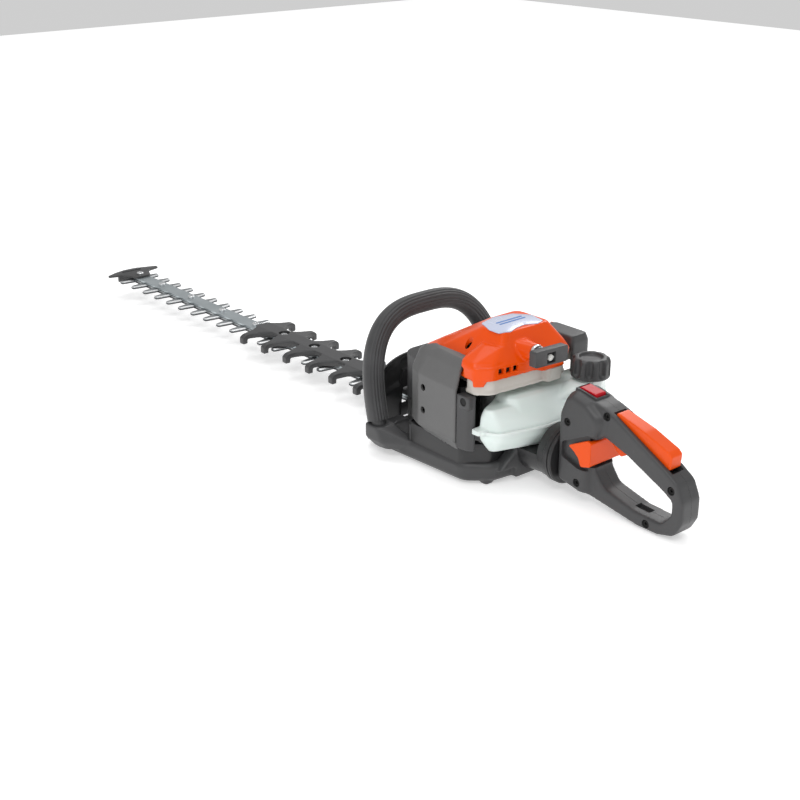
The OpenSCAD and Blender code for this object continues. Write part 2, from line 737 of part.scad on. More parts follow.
// The front handle's centreline: a squared arch that leans forward
function loop_x(z) = -202 + loop_lean * z;
function loop_point(a) = let (z = 28 + (loop_top - 28) * pow(sin(a), 2 / 2.9),
        y = loop_half * sign(cos(a)) * pow(abs(cos(a)), 2 / 2.9))
    [loop_x(z), y, z];
loop_normal = unit([1, 0, -loop_lean]);
loop_path = [for (a = [0:5:180]) loop_point(a)];
grip_path = [for (a = [8:4:172]) loop_point(a)];
module front_handle() {
    color("dimgray") sweep(loop_path, 9, loop_normal);
}
module front_grip() {
    color("dimgray") difference() {
        sweep(grip_path, grip_r, loop_normal, 20);
        sweep(loop_path, 9.2, loop_normal);
    }
}

module handle_pivot_ring() {
    color("dimgray") difference() {
        union() {
            along_x(-405, handle_x + gap, 0, pivot_z, ring_r);
            along_x(-402, -392, 0, pivot_z, ring_r - 3);
            intersection() {
                along_x(-392, -362, 0, pivot_z, ring_r - 5);
                translate([-400, -50, 0]) cube([60, 100, 46]);
            }
            along_x(handle_x - 19, handle_x + gap, 0, pivot_z, 19);
        }
        along_x(handle_x - 20, -396, 0, pivot_z, 12);
    }
}

handle_outline = [[handle_x, 20, 6], [handle_x, 108, 8], [-424, 130, 8], [-433, 135, 6], [-458, 129.5, 8],
    [-474, 126, 20], [-490, 120.5, 8], [-566, 81, 10], [-583, 70, 14], [-592, 50, 16], [-592, 26, 14],
    [-582, 8, 12], [-560, 2.5, 14], [-530, 2.5, 30], [-462, 13, 20], [-440, 18, 20]];
hand_hole = [[-480, 30, 14], [-468, 46, 12], [-461, 74, 10], [-476, 92, 8], [-510, 81, 10], [-564, 56, 8],
    [-577, 48, 6], [-577, 32, 8], [-564, 17, 8], [-524, 19, 20]];
module handle_shell(side) {
    low = side > 0 ? 0 : -1;
    difference() {
        union() {
            across(handle_outline, min(0, side * grip_half), max(0, side * grip_half));
            across([[handle_x, 20, 6], [handle_x, 108, 8], [-424, 130, 8], [-433, 135, 6], [-458, 129.5, 8],
                [-478, 112, 14], [-470, 88, 10], [-462, 70, 10], [-464, 40, 12], [-460, 15, 6]],
                min(0, side * body_half), max(0, side * body_half));
        }
        across(hand_hole, -40, 40);
        along_x(handle_x - 21, handle_x + 1, 0, pivot_z, 19 + running);
        // Rooms for the trigger, the lockout, the switch and the latch
        across([[-468, 60, 0], [-468, 116, 0], [-516, 103, 0], [-516, 60, 0]], -7, 7);
        across([[-484.5, 108, 0], [-484.5, 150, 0], [-571, 120, 0], [-571, 71, 0], [-552, 71, 0]],
            -10, 10);
        across([[-428, 118, 0], [-424, 150, 0], [-460, 150, 0], [-460, 118, 0]], -9, 9);
        across([[-423, 54, 4], [-423, 72, 4], [-436, 78, 4], [-462, 91, 2], [-480, 91, 0], [-480, 46, 0],
            [-448, 46, 4]], side > 0 ? 21.8 : -40, side > 0 ? 40 : -21.8);
        across([[-461.5, 50, 0], [-461.5, 87, 0], [-480, 87, 0], [-480, 50, 0]], -40, 40);
        for (p = screw_places) along_y(p[0], -40, 40, p[1], 2.53);
        for (p = screw_places)
            along_y(p[0], side > 0 ? p[2] - 3 : -40, side > 0 ? 40 : 3 - p[2], p[1], 4.6);
    }
}
// Handle screws: place along X, height and half width of the shell there
screw_places = [[-430, 98, 25], [-480, 117.5, 16], [-448, 28, 25], [-575, 61, 16], [-544, 9.5, 16]];
module rear_handle_left() { color("dimgray") handle_shell(1); }
module rear_handle_right() { color("dimgray") handle_shell(-1); }
module handle_screws() {
    color("silver") for (p = screw_places) {
        along_y(p[0], 3 - p[2], p[2] - 3, p[1], 2.5);
        along_y(p[0], p[2] - 3, p[2] - 1, p[1], 4.5);
    }
}

// The trigger swings up on a pin through the grip
trigger_pin = [-474, 108];
module throttle_trigger() {
    color("orangered") difference() {
        across([[-470, 110, 3], [-480, 110.5, 2], [-510, 84, 3], [-506, 76, 3], [-494, 71, 2],
            [-484, 84, 6], [-470, 97, 3]], -6.5, 6.5);
        along_y(trigger_pin[0], -10, 10, trigger_pin[1], 2);
    }
}
lockout_pin = [-493, 118];
module throttle_lockout() {
    color("orangered") difference() {
        across([[-487, 117, 1.5], [-489, 123.5, 1.5], [-530, 113, 40], [-563, 100.5, 3], [-568, 96, 2],
            [-566.5, 80, 1.5], [-556, 80, 2], [-530, 95, 30], [-494, 112, 2]], -9.5, 9.5);
        along_y(lockout_pin[0], -12, 12, lockout_pin[1], 1.5);
    }
}
// The rocker switch tips about its middle
switch_pin = [-443, 128];
module stop_switch() {
    color("crimson") difference() {
        across([[-431, 128, 2], [-431, 137.5, 2], [-443, 136, 0], [-456, 134.5, 2], [-457, 126, 2],
            [-444, 121, 4]], -8.5, 8.5);
        along_y(switch_pin[0], -10, 10, switch_pin[1], 1.5);
    }
}
// The latch that frees the handle to turn: two cheeks joined behind the front column
module handle_latch() {
    cheek = [[-434, 71, 1.5], [-462, 85, 3], [-468, 84, 3], [-468, 54, 3], [-454, 50, 2],
        [-450, 60, 12], [-443, 66, 12]];
    color("orangered") {
        across(cheek, 22.1, 26.5);
        across(cheek, -26.5, -22.1);
        across([[-462.6, 54, 1], [-462.6, 84, 1], [-468, 84, 2], [-468, 54, 2]], -22.3, 22.3);
    }
}

guide_bar();
upper_blade();
lower_blade();
upper_blade_yoke();
lower_blade_yoke();
blade_bolts();
blade_nuts();
tip_guard();
finger_guard();
gearcase_lower();
gearcase_upper();
ball_bearings();
eccentric_shaft();
drive_gear();
clutch_drum();
clutch_shoes();
clutch_spring();
clutch_housing();
crankcase();
crankshaft();
connecting_rod();
gudgeon_pin();
piston();
engine_cylinder();
spark_plug();
flywheel();
ignition_coil();
starter_pulley();
starter_rope();
starter_handle();
rope_bushing();
fan_housing();
engine_cover();
label_plate();
cylinder_cover();
muffler();
muffler_cover();
side_panel();
cover_screws();
carburettor();
air_filter();
air_filter_cover();
choke_lever();
primer_bulb();
fuel_tank();
fuel_cap();
frame_bow();
rubber_mounts();
hand_shield();
front_handle();
front_grip();
handle_pivot_ring();
rear_handle_left();
rear_handle_right();
handle_screws();
throttle_trigger();
throttle_lockout();
stop_switch();
handle_latch();
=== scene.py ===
"""Looks of a petrol hedge trimmer: moulded covers, handles, cutter bar and their finishes."""

import math

import bmesh
import bpy
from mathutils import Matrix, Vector


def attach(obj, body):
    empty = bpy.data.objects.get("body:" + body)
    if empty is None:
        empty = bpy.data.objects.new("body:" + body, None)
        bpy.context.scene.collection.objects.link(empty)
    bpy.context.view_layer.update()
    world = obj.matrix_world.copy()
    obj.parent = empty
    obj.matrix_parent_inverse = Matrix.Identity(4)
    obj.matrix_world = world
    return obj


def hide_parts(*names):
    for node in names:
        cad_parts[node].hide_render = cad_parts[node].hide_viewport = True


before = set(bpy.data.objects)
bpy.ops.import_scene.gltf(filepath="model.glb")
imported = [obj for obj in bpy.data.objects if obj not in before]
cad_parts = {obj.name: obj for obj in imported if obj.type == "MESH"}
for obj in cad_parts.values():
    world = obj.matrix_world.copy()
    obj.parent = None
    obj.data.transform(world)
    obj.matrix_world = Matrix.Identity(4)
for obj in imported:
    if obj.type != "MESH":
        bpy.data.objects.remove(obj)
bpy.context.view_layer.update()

# Sizes and places are in millimetres in the trimmer's own frame: +X to the bar's tip, +Y to the
# user's left, +Z up, from the floor under the middle. MM turns them into Blender's metres.
MM = 0.001
BODY = "powerhead"

# Places shared by several pieces
BAR_TOP = 38.05
TOOTH_PITCH = 36.0
FIRST_TOOTH = 567.0
CRANK_X = -292.0
PIVOT_Z = 45.0
HANDLE_X = -416.0
ROPE_Y, ROPE_Z = 20.0, 165.0
CAP = (-389.0, -57.0, 122.0)
LOOP_LEAN = 0.28
COVER_WALL = 3.4
COVER_SCREW = (-300, 57.5)
LEFT_SEAM_X = -320.8  # the muffler cover and the side panel meet here
MUFFLER_INNER_Y = 70.2
LABEL_BED_Z = 184.4


# ---- Camera, light and floor ----

def make_camera():
    """Stands behind the trimmer on its left and looks along it, down to the tip."""
    lens = bpy.data.cameras.new("camera")
    lens.sensor_width = 36.0
    lens.lens = 61.2
    lens.clip_end = 50.0
    camera = bpy.data.objects.new("camera", lens)
    bpy.context.collection.objects.link(camera)
    camera.location = (-1.389, 1.094, 0.700)
    turn, tilt = math.radians(40.5), math.radians(22.0)
    ahead = Vector((math.cos(turn) * math.cos(tilt), -math.sin(turn) * math.cos(tilt), -math.sin(tilt)))
    camera.rotation_euler = ahead.to_track_quat("-Z", "Y").to_euler()
    bpy.context.scene.camera = camera


def soft_light(name, place, target, size, watts):
    lamp = bpy.data.lights.new(name, "AREA")
    lamp.shape = "DISK"
    lamp.size = size
    lamp.energy = watts
    light = bpy.data.objects.new(name, lamp)
    bpy.context.collection.objects.link(light)
    light.location = place
    light.rotation_euler = (Vector(target) - Vector(place)).to_track_quat("-Z", "Y").to_euler()


def make_studio():
    world = bpy.data.worlds.new("studio")
    bpy.context.scene.world = world
    world.use_nodes = True
    backdrop = world.node_tree.nodes["Background"]
    backdrop.inputs["Color"].default_value = (1.0, 1.0, 1.0, 1.0)
    backdrop.inputs["Strength"].default_value = 0.62
    soft_light("key", (-1.3, 1.5, 1.9), (-0.25, 0, 0.05), 0.9, 15)
    soft_light("top", (0.1, -0.2, 2.2), (-0.1, 0, 0), 1.6, 12)
    soft_light("rim", (0.6, -1.7, 1.3), (-0.25, 0, 0.1), 0.8, 9)
    bpy.context.scene.view_settings.view_transform = "Standard"


# ---- Outlines and solids ----

def corner_arc(before, here, after, radius, steps):
    """The points of an arc that rounds one corner of an outline."""
    b, p, a = Vector(before[:2]), Vector(here[:2]), Vector(after[:2])
    u, v = (b - p).normalized(), (a - p).normalized()
    half = u.angle(v) / 2
    centre = p + (u + v).normalized() * radius / math.sin(half)
    start = p + u * radius / math.tan(half) - centre
    end = p + v * radius / math.tan(half) - centre
    first = math.atan2(start.y, start.x)
    sweep = math.atan2(end.y, end.x) - first
    sweep = (sweep + math.pi) % (2 * math.pi) - math.pi
    return [(centre.x + radius * math.cos(first + sweep * i / steps),
             centre.y + radius * math.sin(first + sweep * i / steps)) for i in range(steps + 1)]


def outline(points, steps=6):
    """An outline from its corners (u, v, radius); a corner with no radius stays sharp."""
    ring = []
    for i, here in enumerate(points):
        if len(here) < 3 or here[2] == 0:
            ring.append(tuple(here[:2]))
        else:
            ring += corner_arc(points[i - 1], here, points[(i + 1) % len(points)], here[2], steps)
    return ring


def place_point(u, v, t, axis):
    """A point of a profile in the plane across an axis: z takes (x, y), y takes (x, z), x takes (y, z)."""
    return {"z": (u, v, t), "y": (u, t, v), "x": (t, u, v)}[axis]


def solid(name, points, faces):
    mesh = bpy.data.meshes.new(name)
    mesh.from_pydata([Vector(p) * MM for p in points], [], faces)
    work = bmesh.new()
    work.from_mesh(mesh)
    bmesh.ops.recalc_face_normals(work, faces=work.faces)
    work.to_mesh(mesh)
    work.free()
    piece = bpy.data.objects.new(name, mesh)
    bpy.context.collection.objects.link(piece)
    return piece


def loft(name, rings, closed=False):
    """A solid through rings of equally many points, with flat ends unless it closes on itself."""
    count = len(rings[0])
    faces = []
    spans = len(rings) if closed else len(rings) - 1
    for i in range(spans):
        a, b = i * count, (i + 1) % len(rings) * count
        for j in range(count):
            k = (j + 1) % count
            faces.append((a + j, a + k, b + k, b + j))
    if not closed:
        faces.append(tuple(range(count - 1, -1, -1)))
        faces.append(tuple((len(rings) - 1) * count + j for j in range(count)))
    return solid(name, [p for ring in rings for p in ring], faces)


def prism(name, corners, low, high, axis="z", steps=6):
    ring = outline(corners, steps)
    return loft(name, [[place_point(u, v, t, axis) for u, v in ring] for t in (low, high)])


def layered(name, levels, axis="z", steps=6):
    """A loft through outlines at heights: each level is (height, corners)."""
    return loft(name, [[place_point(u, v, t, axis) for u, v in outline(corners, steps)]
                       for t, corners in levels])


def turned(name, profile, centre, axis="z", steps=48):
    """A solid of revolution from (radius, height) points that start and end on the axis."""
    rings = []
    for radius, height in profile:
        radius = max(radius, 0.01)
        ring = []
        for i in range(steps):
            angle = 2 * math.pi * i / steps
            offset = place_point(radius * math.cos(angle), radius * math.sin(angle), height, axis)
            ring.append(tuple(c + o for c, o in zip(centre, offset)))
        rings.append(ring)
    return loft(name, rings)


def rod(name, centre, radius, low, high, axis="z", steps=32):
    return turned(name, [(radius, low), (radius, high)], centre, axis, steps)


def block(name, low, high):
    corners = [(low[0], low[1]), (high[0], low[1]), (high[0], high[1]), (low[0], high[1])]
    return prism(name, corners, low[2], high[2])


def swept(name, path, ring_at):
    """A solid along a path of (point, side, up) stations; ring_at(i) gives the section's (s, u) points."""
    return loft(name, [[point + side * s + up * u for s, u in ring_at(i)]
                       for i, (point, side, up) in enumerate(path)])


def hull(name, *levels):
    """The tightest solid round outlines that lie at heights: each level is (height, corners)."""
    mesh = bmesh.new()
    for height, corners in levels:
        for u, v in outline(corners):
            mesh.verts.new(Vector((u, v, height)) * MM)
    made = bmesh.ops.convex_hull(mesh, input=mesh.verts)
    spare = [e for e in made["geom_interior"] + made["geom_unused"] if isinstance(e, bmesh.types.BMVert)]
    bmesh.ops.delete(mesh, geom=list(set(spare)), context="VERTS")
    data = bpy.data.meshes.new(name)
    mesh.to_mesh(data)
    mesh.free()
    piece = bpy.data.objects.new(name, data)
    bpy.context.collection.objects.link(piece)
    return piece


def joined(name, pieces):
    """Several separate solids kept as one piece."""
    work = bmesh.new()
    for piece in pieces:
        work.from_mesh(piece.data)
        bpy.data.objects.remove(piece)
    mesh = bpy.data.meshes.new(name)
    work.to_mesh(mesh)
    work.free()
    whole = bpy.data.objects.new(name, mesh)
    bpy.context.collection.objects.link(whole)
    return whole


def apply_modifiers(piece):
    graph = bpy.context.evaluated_depsgraph_get()
    mesh = bpy.data.meshes.new_from_object(piece.evaluated_get(graph))
    piece.modifiers.clear()
    piece.data = mesh


def combine(piece, others, operation):
    for other in others:
        step = piece.modifiers.new("combine", "BOOLEAN")
        step.operation = operation
        step.solver = "MANIFOLD"
        step.object = other
    apply_modifiers(piece)
    for other in others:
        bpy.data.objects.remove(other)
    return piece


def add(piece, *others):
    return combine(piece, others, "UNION")


def cut(piece, *others):
    return combine(piece, others, "DIFFERENCE")


def smooth_shading(piece, angle=None):
    for face in piece.data.polygons:
        face.use_smooth = True
    if angle is not None:
        sharp = math.radians(angle)
        work = bmesh.new()
        work.from_mesh(piece.data)
        for edge in work.edges:
            if len(edge.link_faces) == 2 and edge.calc_face_angle(0) > sharp:
                edge.smooth = False
        work.to_mesh(piece.data)
        work.free()
    return piece


def moulded(piece, voxel=1.5, rounds=5):
    """Gives a piece the soft edges and even surface of a moulding."""
    remesh = piece.modifiers.new("remesh", "REMESH")
    remesh.mode = "VOXEL"
    remesh.voxel_size = voxel * MM
    soften = piece.modifiers.new("soften", "SMOOTH")
    soften.factor = 0.5
    soften.iterations = rounds
    apply_modifiers(piece)
    return smooth_shading(piece)


def edged(piece, width=0.6, segments=2, angle=35):
    """Rounds the sharp edges of a piece that keeps its flat faces."""
    bevel = piece.modifiers.new("bevel", "BEVEL")
    bevel.width = width * MM
    bevel.segments = segments
    bevel.limit_method = "ANGLE"
    bevel.angle_limit = math.radians(angle)
    apply_modifiers(piece)
    return smooth_shading(piece, 40)


def reshape(piece, move):
    """Moves every point by a rule from its place in millimetres to its new place."""
    for vertex in piece.data.vertices:
        vertex.co = Vector(move(*(vertex.co / MM))) * MM
    piece.data.update()
    return piece


def fit(piece, body, finish, slot, *nodes):
    """Puts a finished piece on its body with its material, and hides the nodes it stands for."""
    piece.data.materials.clear()
    piece.data.materials.append(finish)
    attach(piece, body)
    if nodes:
        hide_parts(*nodes)
    return piece


def ease(value, low, high):
    """A smooth step from 0 at low to 1 at high."""
    t = min(max((value - low) / (high - low), 0.0), 1.0)
    return t * t * (3 - 2 * t)


# ---- Shader maths ----

class Signal:
    """A shader value that takes Python arithmetic."""

    def __init__(self, finish, socket):
        self.finish, self.socket = finish, socket

    def _math(self, operation, first, second):
        return self.finish.node("ShaderNodeMath", {"operation": operation}, {0: first, 1: second})

    def __add__(self, other):
        return self._math("ADD", self, other)

    def __sub__(self, other):
        return self._math("SUBTRACT", self, other)

    def __mul__(self, other):
        return self._math("MULTIPLY", self, other)

    def __rsub__(self, other):
        return self._math("SUBTRACT", other, self)

    __radd__, __rmul__ = __add__, __mul__


class Finish:
    """One material while it is made: its nodes, its place on the object and its shader."""

    def __init__(self, name, **constants):
        self.material = bpy.data.materials.new(name)
        self.material.use_nodes = True
        self.tree = self.material.node_tree
        self.shader = self.tree.nodes["Principled BSDF"]
        for key, value in constants.items():
            self.shader.inputs[key.replace("_", " ")].default_value = value
        self.where = self.node("ShaderNodeTexCoord", output="Object")

    def node(self, kind, settings=None, inputs=None, output=0):
        node = self.tree.nodes.new(kind)
        for key, value in (settings or {}).items():
            if key == "stops":
                ramp = node.color_ramp
                while len(ramp.elements) < len(value):
                    ramp.elements.new(1.0)
                for element, (position, color) in zip(ramp.elements, value):
                    element.position, element.color = position, (*color, 1.0)
            else:
                setattr(node, key, value)
        for key, value in (inputs or {}).items():
            if isinstance(value, Signal):
                self.tree.links.new(value.socket, node.inputs[key])
            else:
                node.inputs[key].default_value = value
        return Signal(self, node.outputs[output])

    def feed(self, socket, signal):
        self.tree.links.new(signal.socket, self.shader.inputs[socket])

    def stretched(self, scale):
        return self.node("ShaderNodeMapping", None, {"Vector": self.where, "Scale": scale})

    def noise(self, scale, detail=3.0, where=None, roughness=0.5):
        return self.node("ShaderNodeTexNoise", None, {
            "Vector": where or self.where, "Scale": scale, "Detail": detail, "Roughness": roughness})

    def blend(self, amount, first, second):
        """Mixes two colours by an amount."""
        node = self.tree.nodes.new("ShaderNodeMix")
        node.data_type = "RGBA"
        for socket, value in zip((node.inputs[0], node.inputs[6], node.inputs[7]), (amount, first, second)):
            if isinstance(value, Signal):
                self.tree.links.new(value.socket, socket)
            else:
                socket.default_value = value if isinstance(value, float) else (*value, 1.0)
        return Signal(self, node.outputs[2])

    def ramp(self, signal, low, high):
        """Stretches a signal so that low becomes 0 and high becomes 1."""
        return self.node("ShaderNodeMapRange", None, {"Value": signal, "From Min": low, "From Max": high})

    def bump(self, height, strength, distance):
        rounded = self.node("ShaderNodeBevel", {"samples": 4}, {"Radius": 0.0006})
        self.feed("Normal", self.node("ShaderNodeBump", None, {
            "Height": height, "Strength": strength, "Distance": distance, "Normal": rounded}))


def moulded_plastic(name, colour, roughness, grain=0.35, scuffs=0.15, **constants):
    """Plastic from a spark-eroded mould: fine grain, uneven sheen and a few pale scuffs."""
    f = Finish(name, Roughness=roughness, **constants)
    cloud = f.ramp(f.noise(14.0, 4.0), 0.35, 0.7)
    scuff = f.ramp(f.noise(220.0, 2.0, f.stretched((1.0, 0.25, 0.6))), 0.66, 0.76) * cloud
    pale = tuple(min(1.0, c * 1.5 + 0.02) for c in colour)
    deep = tuple(c * 0.86 for c in colour)
    base = f.blend(cloud, deep, colour)
    f.feed("Base Color", f.blend(scuff * scuffs, base, pale))
    f.feed("Roughness", cloud * 0.08 + (roughness - 0.04) - scuff * 0.05)
    f.bump(f.noise(2600.0, 2.0), grain, 0.00005)
    return f.material


def gloss_plastic(name, colour, roughness=0.22, **constants):
    """Polished plastic: a faint orange-peel ripple, fine hairlines and a little dust."""
    f = Finish(name, Coat_Weight=0.14, Coat_Roughness=0.12, **constants)
    cloud = f.ramp(f.noise(9.0, 3.0), 0.3, 0.75)
    hair = f.ramp(f.noise(60.0, 4.0, f.stretched((1.0, 9.0, 3.0))), 0.6, 0.75)
    deep = tuple(c * 0.9 for c in colour)
    f.feed("Base Color", f.blend(cloud, deep, colour))
    f.feed("Roughness", hair * 0.05 + cloud * 0.06 + roughness)
    f.bump(f.noise(420.0, 1.0), 0.08, 0.00008)
    return f.material


def brushed_steel(name, colour, roughness=0.32, across=False, **constants):
    """Ground steel: fine lines along the bar or across it, with duller patches."""
    f = Finish(name, Metallic=1.0, **constants)
    lines = f.noise(130.0, 5.0, f.stretched((9.0, 0.5, 4.0) if across else (0.4, 12.0, 12.0)))
    patch = f.ramp(f.noise(24.0, 4.0), 0.35, 0.75)
    dull = tuple(c * 0.72 for c in colour)
    f.feed("Base Color", f.blend(patch * 0.6 + lines * 0.35, colour, dull))
    f.feed("Roughness", lines * 0.18 + patch * 0.12 + (roughness - 0.1))
    f.bump(lines, 0.25, 0.00006)
    return f.material


def cast_metal(name, colour, roughness=0.5):
    """Die-cast alloy: a pebbled skin with darker hollows."""
    f = Finish(name, Metallic=0.85)
    pebble = f.noise(520.0, 4.0)
    stain = f.ramp(f.noise(35.0, 4.0), 0.35, 0.7)
    f.feed("Base Color", f.blend(stain, tuple(c * 0.6 for c in colour), colour))
    f.feed("Roughness", pebble * 0.2 + (roughness - 0.1))
    f.bump(pebble, 0.4, 0.0002)
    return f.material


def tank_plastic(name, colour, tint):
    """Milky blown plastic: light goes a little way in, and the fuel shows as a faint tint."""
    f = Finish(name, Subsurface_Weight=0.35, Subsurface_Scale=0.012, Coat_Weight=0.12,
               Coat_Roughness=0.25, IOR=1.5)
    f.shader.inputs["Subsurface Radius"].default_value = (0.9, 1.0, 0.95)
    cloud = f.ramp(f.noise(11.0, 2.0), 0.3, 0.75)
    f.feed("Base Color", f.blend(cloud * 0.5, colour, tint))
    f.feed("Roughness", cloud * 0.08 + 0.34)
    f.bump(f.noise(300.0, 2.0), 0.06, 0.0001)
    return f.material


def soft_rubber(name, colour):
    """Grip rubber: matt, slightly dusty and finely pebbled."""
    f = Finish(name, Roughness=0.6, Sheen_Weight=0.15, Sheen_Roughness=0.5)
    dust = f.ramp(f.noise(30.0, 5.0), 0.4, 0.75)
    f.feed("Base Color", f.blend(dust, tuple(c * 0.8 for c in colour), tuple(c * 1.15 for c in colour)))
    f.feed("Roughness", dust * 0.12 + 0.5)
    f.bump(f.noise(1700.0, 3.0), 0.35, 0.00006)
    return f.material


def woven_rope(name):
    f = Finish(name, Roughness=0.8)
    strand = f.node("ShaderNodeTexWave", {"bands_direction": "DIAGONAL"}, {
        "Vector": f.where, "Scale": 260.0, "Distortion": 1.0}, output="Fac")
    f.feed("Base Color", f.blend(strand, (0.5, 0.5, 0.48), (0.85, 0.85, 0.82)))
    f.bump(strand, 0.6, 0.0004)
    return f.material


CHARCOAL = moulded_plastic("charcoal_plastic", (0.052, 0.052, 0.054), 0.46)
GUARD_GREY = moulded_plastic("guard_plastic", (0.05, 0.05, 0.052), 0.42, scuffs=0.4)
COVER_GREY = moulded_plastic("grey_cover_plastic", (0.12, 0.12, 0.12), 0.42)
DEEP_BLACK = moulded_plastic("black_plastic", (0.022, 0.022, 0.023), 0.36)
HOUSING = moulded_plastic("warm_grey_plastic", (0.6, 0.575, 0.53), 0.4, scuffs=0.05)
ORANGE = gloss_plastic("orange_gloss_plastic", (0.88, 0.082, 0.0), 0.27, Specular_IOR_Level=0.2)
ORANGE_LEVER = gloss_plastic("orange_lever_plastic", (0.88, 0.085, 0.0), 0.32, Specular_IOR_Level=0.2)
RED = gloss_plastic("red_switch_plastic", (0.5, 0.0, 0.008), 0.4, Specular_IOR_Level=0.12)
LABEL = gloss_plastic("label_film", (0.6, 0.65, 0.82), 0.25)
LABEL_STRIPE = gloss_plastic("label_stripe_film", (0.1, 0.25, 0.62), 0.25)
TANK = tank_plastic("milky_tank_plastic", (0.8, 0.88, 0.86), (0.68, 0.8, 0.74))
RUBBER = soft_rubber("grip_rubber", (0.045, 0.045, 0.047))
BAR_STEEL = brushed_steel("bar_steel", (0.5, 0.55, 0.57), 0.36)
GROUND_STEEL = brushed_steel("ground_edge_steel", (0.86, 0.87, 0.88), 0.26, across=True)
BLADE_STEEL = brushed_steel("blade_steel", (0.36, 0.38, 0.39), 0.38, across=True)
DARK_STEEL = brushed_steel("dark_blade_steel", (0.09, 0.09, 0.095), 0.42, across=True)
BRIGHT_STEEL = brushed_steel("bright_screw_steel", (0.82, 0.83, 0.84), 0.2)
BLACK_STEEL = brushed_steel("black_screw_steel", (0.03, 0.03, 0.03), 0.4)
CAST = cast_metal("cast_alloy", (0.42, 0.42, 0.42))
FINS = cast_metal("cylinder_fins_alloy", (0.3, 0.28, 0.12))
ROPE = woven_rope("starter_rope_weave")

# Finishes of the nodes that are shown as they are
NODE_FINISHES = {
    DARK_STEEL: ["upper_blade_yoke", "lower_blade_yoke", "eccentric_shaft", "drive_gear", "clutch_drum",
                 "clutch_shoes"],
    BRIGHT_STEEL: ["ball_bearings", "clutch_spring", "crankshaft", "connecting_rod", "gudgeon_pin",
                   "blade_nuts"],
    CAST: ["gearcase_lower", "gearcase_upper", "clutch_housing", "crankcase", "flywheel", "carburettor",
           "piston"],
    FINS: ["engine_cylinder"],
    CHARCOAL: ["cylinder_cover", "starter_pulley", "front_handle"],
    DEEP_BLACK: ["ignition_coil", "rubber_mounts"],
    ORANGE_LEVER: ["choke_lever", "primer_bulb"],
    HOUSING: ["spark_plug", "air_filter"],
    ROPE: ["starter_rope"],
    BLACK_STEEL: ["muffler", "cover_screws"],
}


# ---- Cutter bar ----

BOLTS = [494, 405, 316, 226, 153, 80, 8, -64]
GUARDED_BOLTS = [x for x in BOLTS if x < 215]  # those that pass through the finger guard
TIP_BOLT = 563.0


def tooth(x, side, ground):
    """One tooth's outline, drawn in by the width that is ground off its flanks."""
    root, flank = side * 12, side * 33
    tip = side * (35 - ground / 3)
    return [(x + 8 - ground, root), (x + 4.5 - ground, flank), (x + 2.5 - ground / 2, tip),
            (x - 3.5 + ground / 2, tip), (x - 6 + ground, flank), (x - 9 + ground, root)]


def blade_outline(ground):
    teeth = [FIRST_TOOTH - i * TOOTH_PITCH for i in range(19)]
    left = [p for x in teeth for p in tooth(x, 1, ground)]
    right = [p for x in reversed(teeth) for p in reversed(tooth(x, -1, ground))]
    return [(576, -8), (576, 8)] + left + [(-193, 12), (-193, -12)] + right


def make_blade(name, body, low, ground_low, ground_high, flat, edge, slot):
    thick = 2.4
    levels = [(low, ground_low), (low + thick * 0.45, min(ground_low, ground_high)),
              (low + thick, ground_high)]
    blade = loft(name + "_toothed", [[(x, y, z) for x, y in blade_outline(ground)] for z, ground in levels])
    run, wide, corner = 12.3, 3.3, 3.2
    cut(blade, *[prism("slot", [(x - run, -wide, corner), (x + run, -wide, corner), (x + run, wide, corner),
                                (x - run, wide, corner)], low - 1, low + thick + 1) for x in BOLTS])
    smooth_shading(blade, 20)
    fit(blade, body, flat, slot, name)
    blade.data.materials.append(edge)
    for face in blade.data.polygons:
        if 0.2 < abs(face.normal.z) < 0.97:  # a ground flank, neither flat nor upright
            face.material_index = 1


def make_bolts():
    heads = []
    for x in BOLTS:
        top = BAR_TOP + (2 if x in GUARDED_BOLTS else 0)
        heads.append(turned("bolt", [(0, top + 2.0), (2.3, top + 2.0), (2.3, top + 3.6), (4.5, top + 3.6),
                                     (5.2, top + 2.9), (5.2, top), (3, top), (3, 24.2), (0, 24.2)],
                            (x, 0, 0)))
    top = BAR_TOP + 3
    heads.append(turned("bolt", [(0, top + 1.8), (2.5, top + 1.8), (2.5, top + 3.4), (4.8, top + 3.4),
                                 (5.6, top + 2.6), (5.6, top), (3, top), (3, 35), (0, 35)], (TIP_BOLT, 0, 0)))
    bolts = smooth_shading(joined("bolts", heads), 30)
    fit(bolts, BODY, BRIGHT_STEEL, "bright_steel", "blade_bolts")


def make_tip_guard():
    crescent = [(602, -9, 14), (602, 9, 14), (597, 27, 20), (588, 46.5, 1.5), (584, 46, 1.5), (577, 24, 12),
                (552, 13, 5), (552, -13, 5), (577, -24, 12), (583, -46, 1.5), (590, -46.5, 1.5),
                (597, -27, 20)]
    nose = [(601, 0, 30), (597, 25, 4), (590, 25, 1), (590, -25, 1), (597, -25, 4)]
    guard = add(prism("tip_shoe", crescent, BAR_TOP, BAR_TOP + 3), prism("nose", nose, 25.5, BAR_TOP + 0.5),
                prism("rib", [(597, -16, 4), (597, 16, 4), (589, 18, 2), (589, -18, 2)],
                      BAR_TOP, BAR_TOP + 4.4))
    fit(edged(guard, 0.8), BODY, GUARD_GREY, "dark_steel", "tip_guard")


def finger_section(x, y):
    """A finger's cross-section at a distance from the bar: wide and tall at the root."""
    out = (abs(y) - 11) / 37
    front = x + 4.2 + 7 * (1 - out) ** 3
    rear = x - 5.5 - 25 * (1 - out) ** 2.6
    top = 45.4 - 4.4 * out - 3 * max(0, out - 0.86) / 0.14
    low = 35.9 - 1.5 * out if out < 0.78 else 27.6
    return [(front, y, low), (front, y, top - 1.4), (front - 1.6, y, top), (rear + 1.6, y, top),
            (rear, y, top - 1.4), (rear, y, low)]


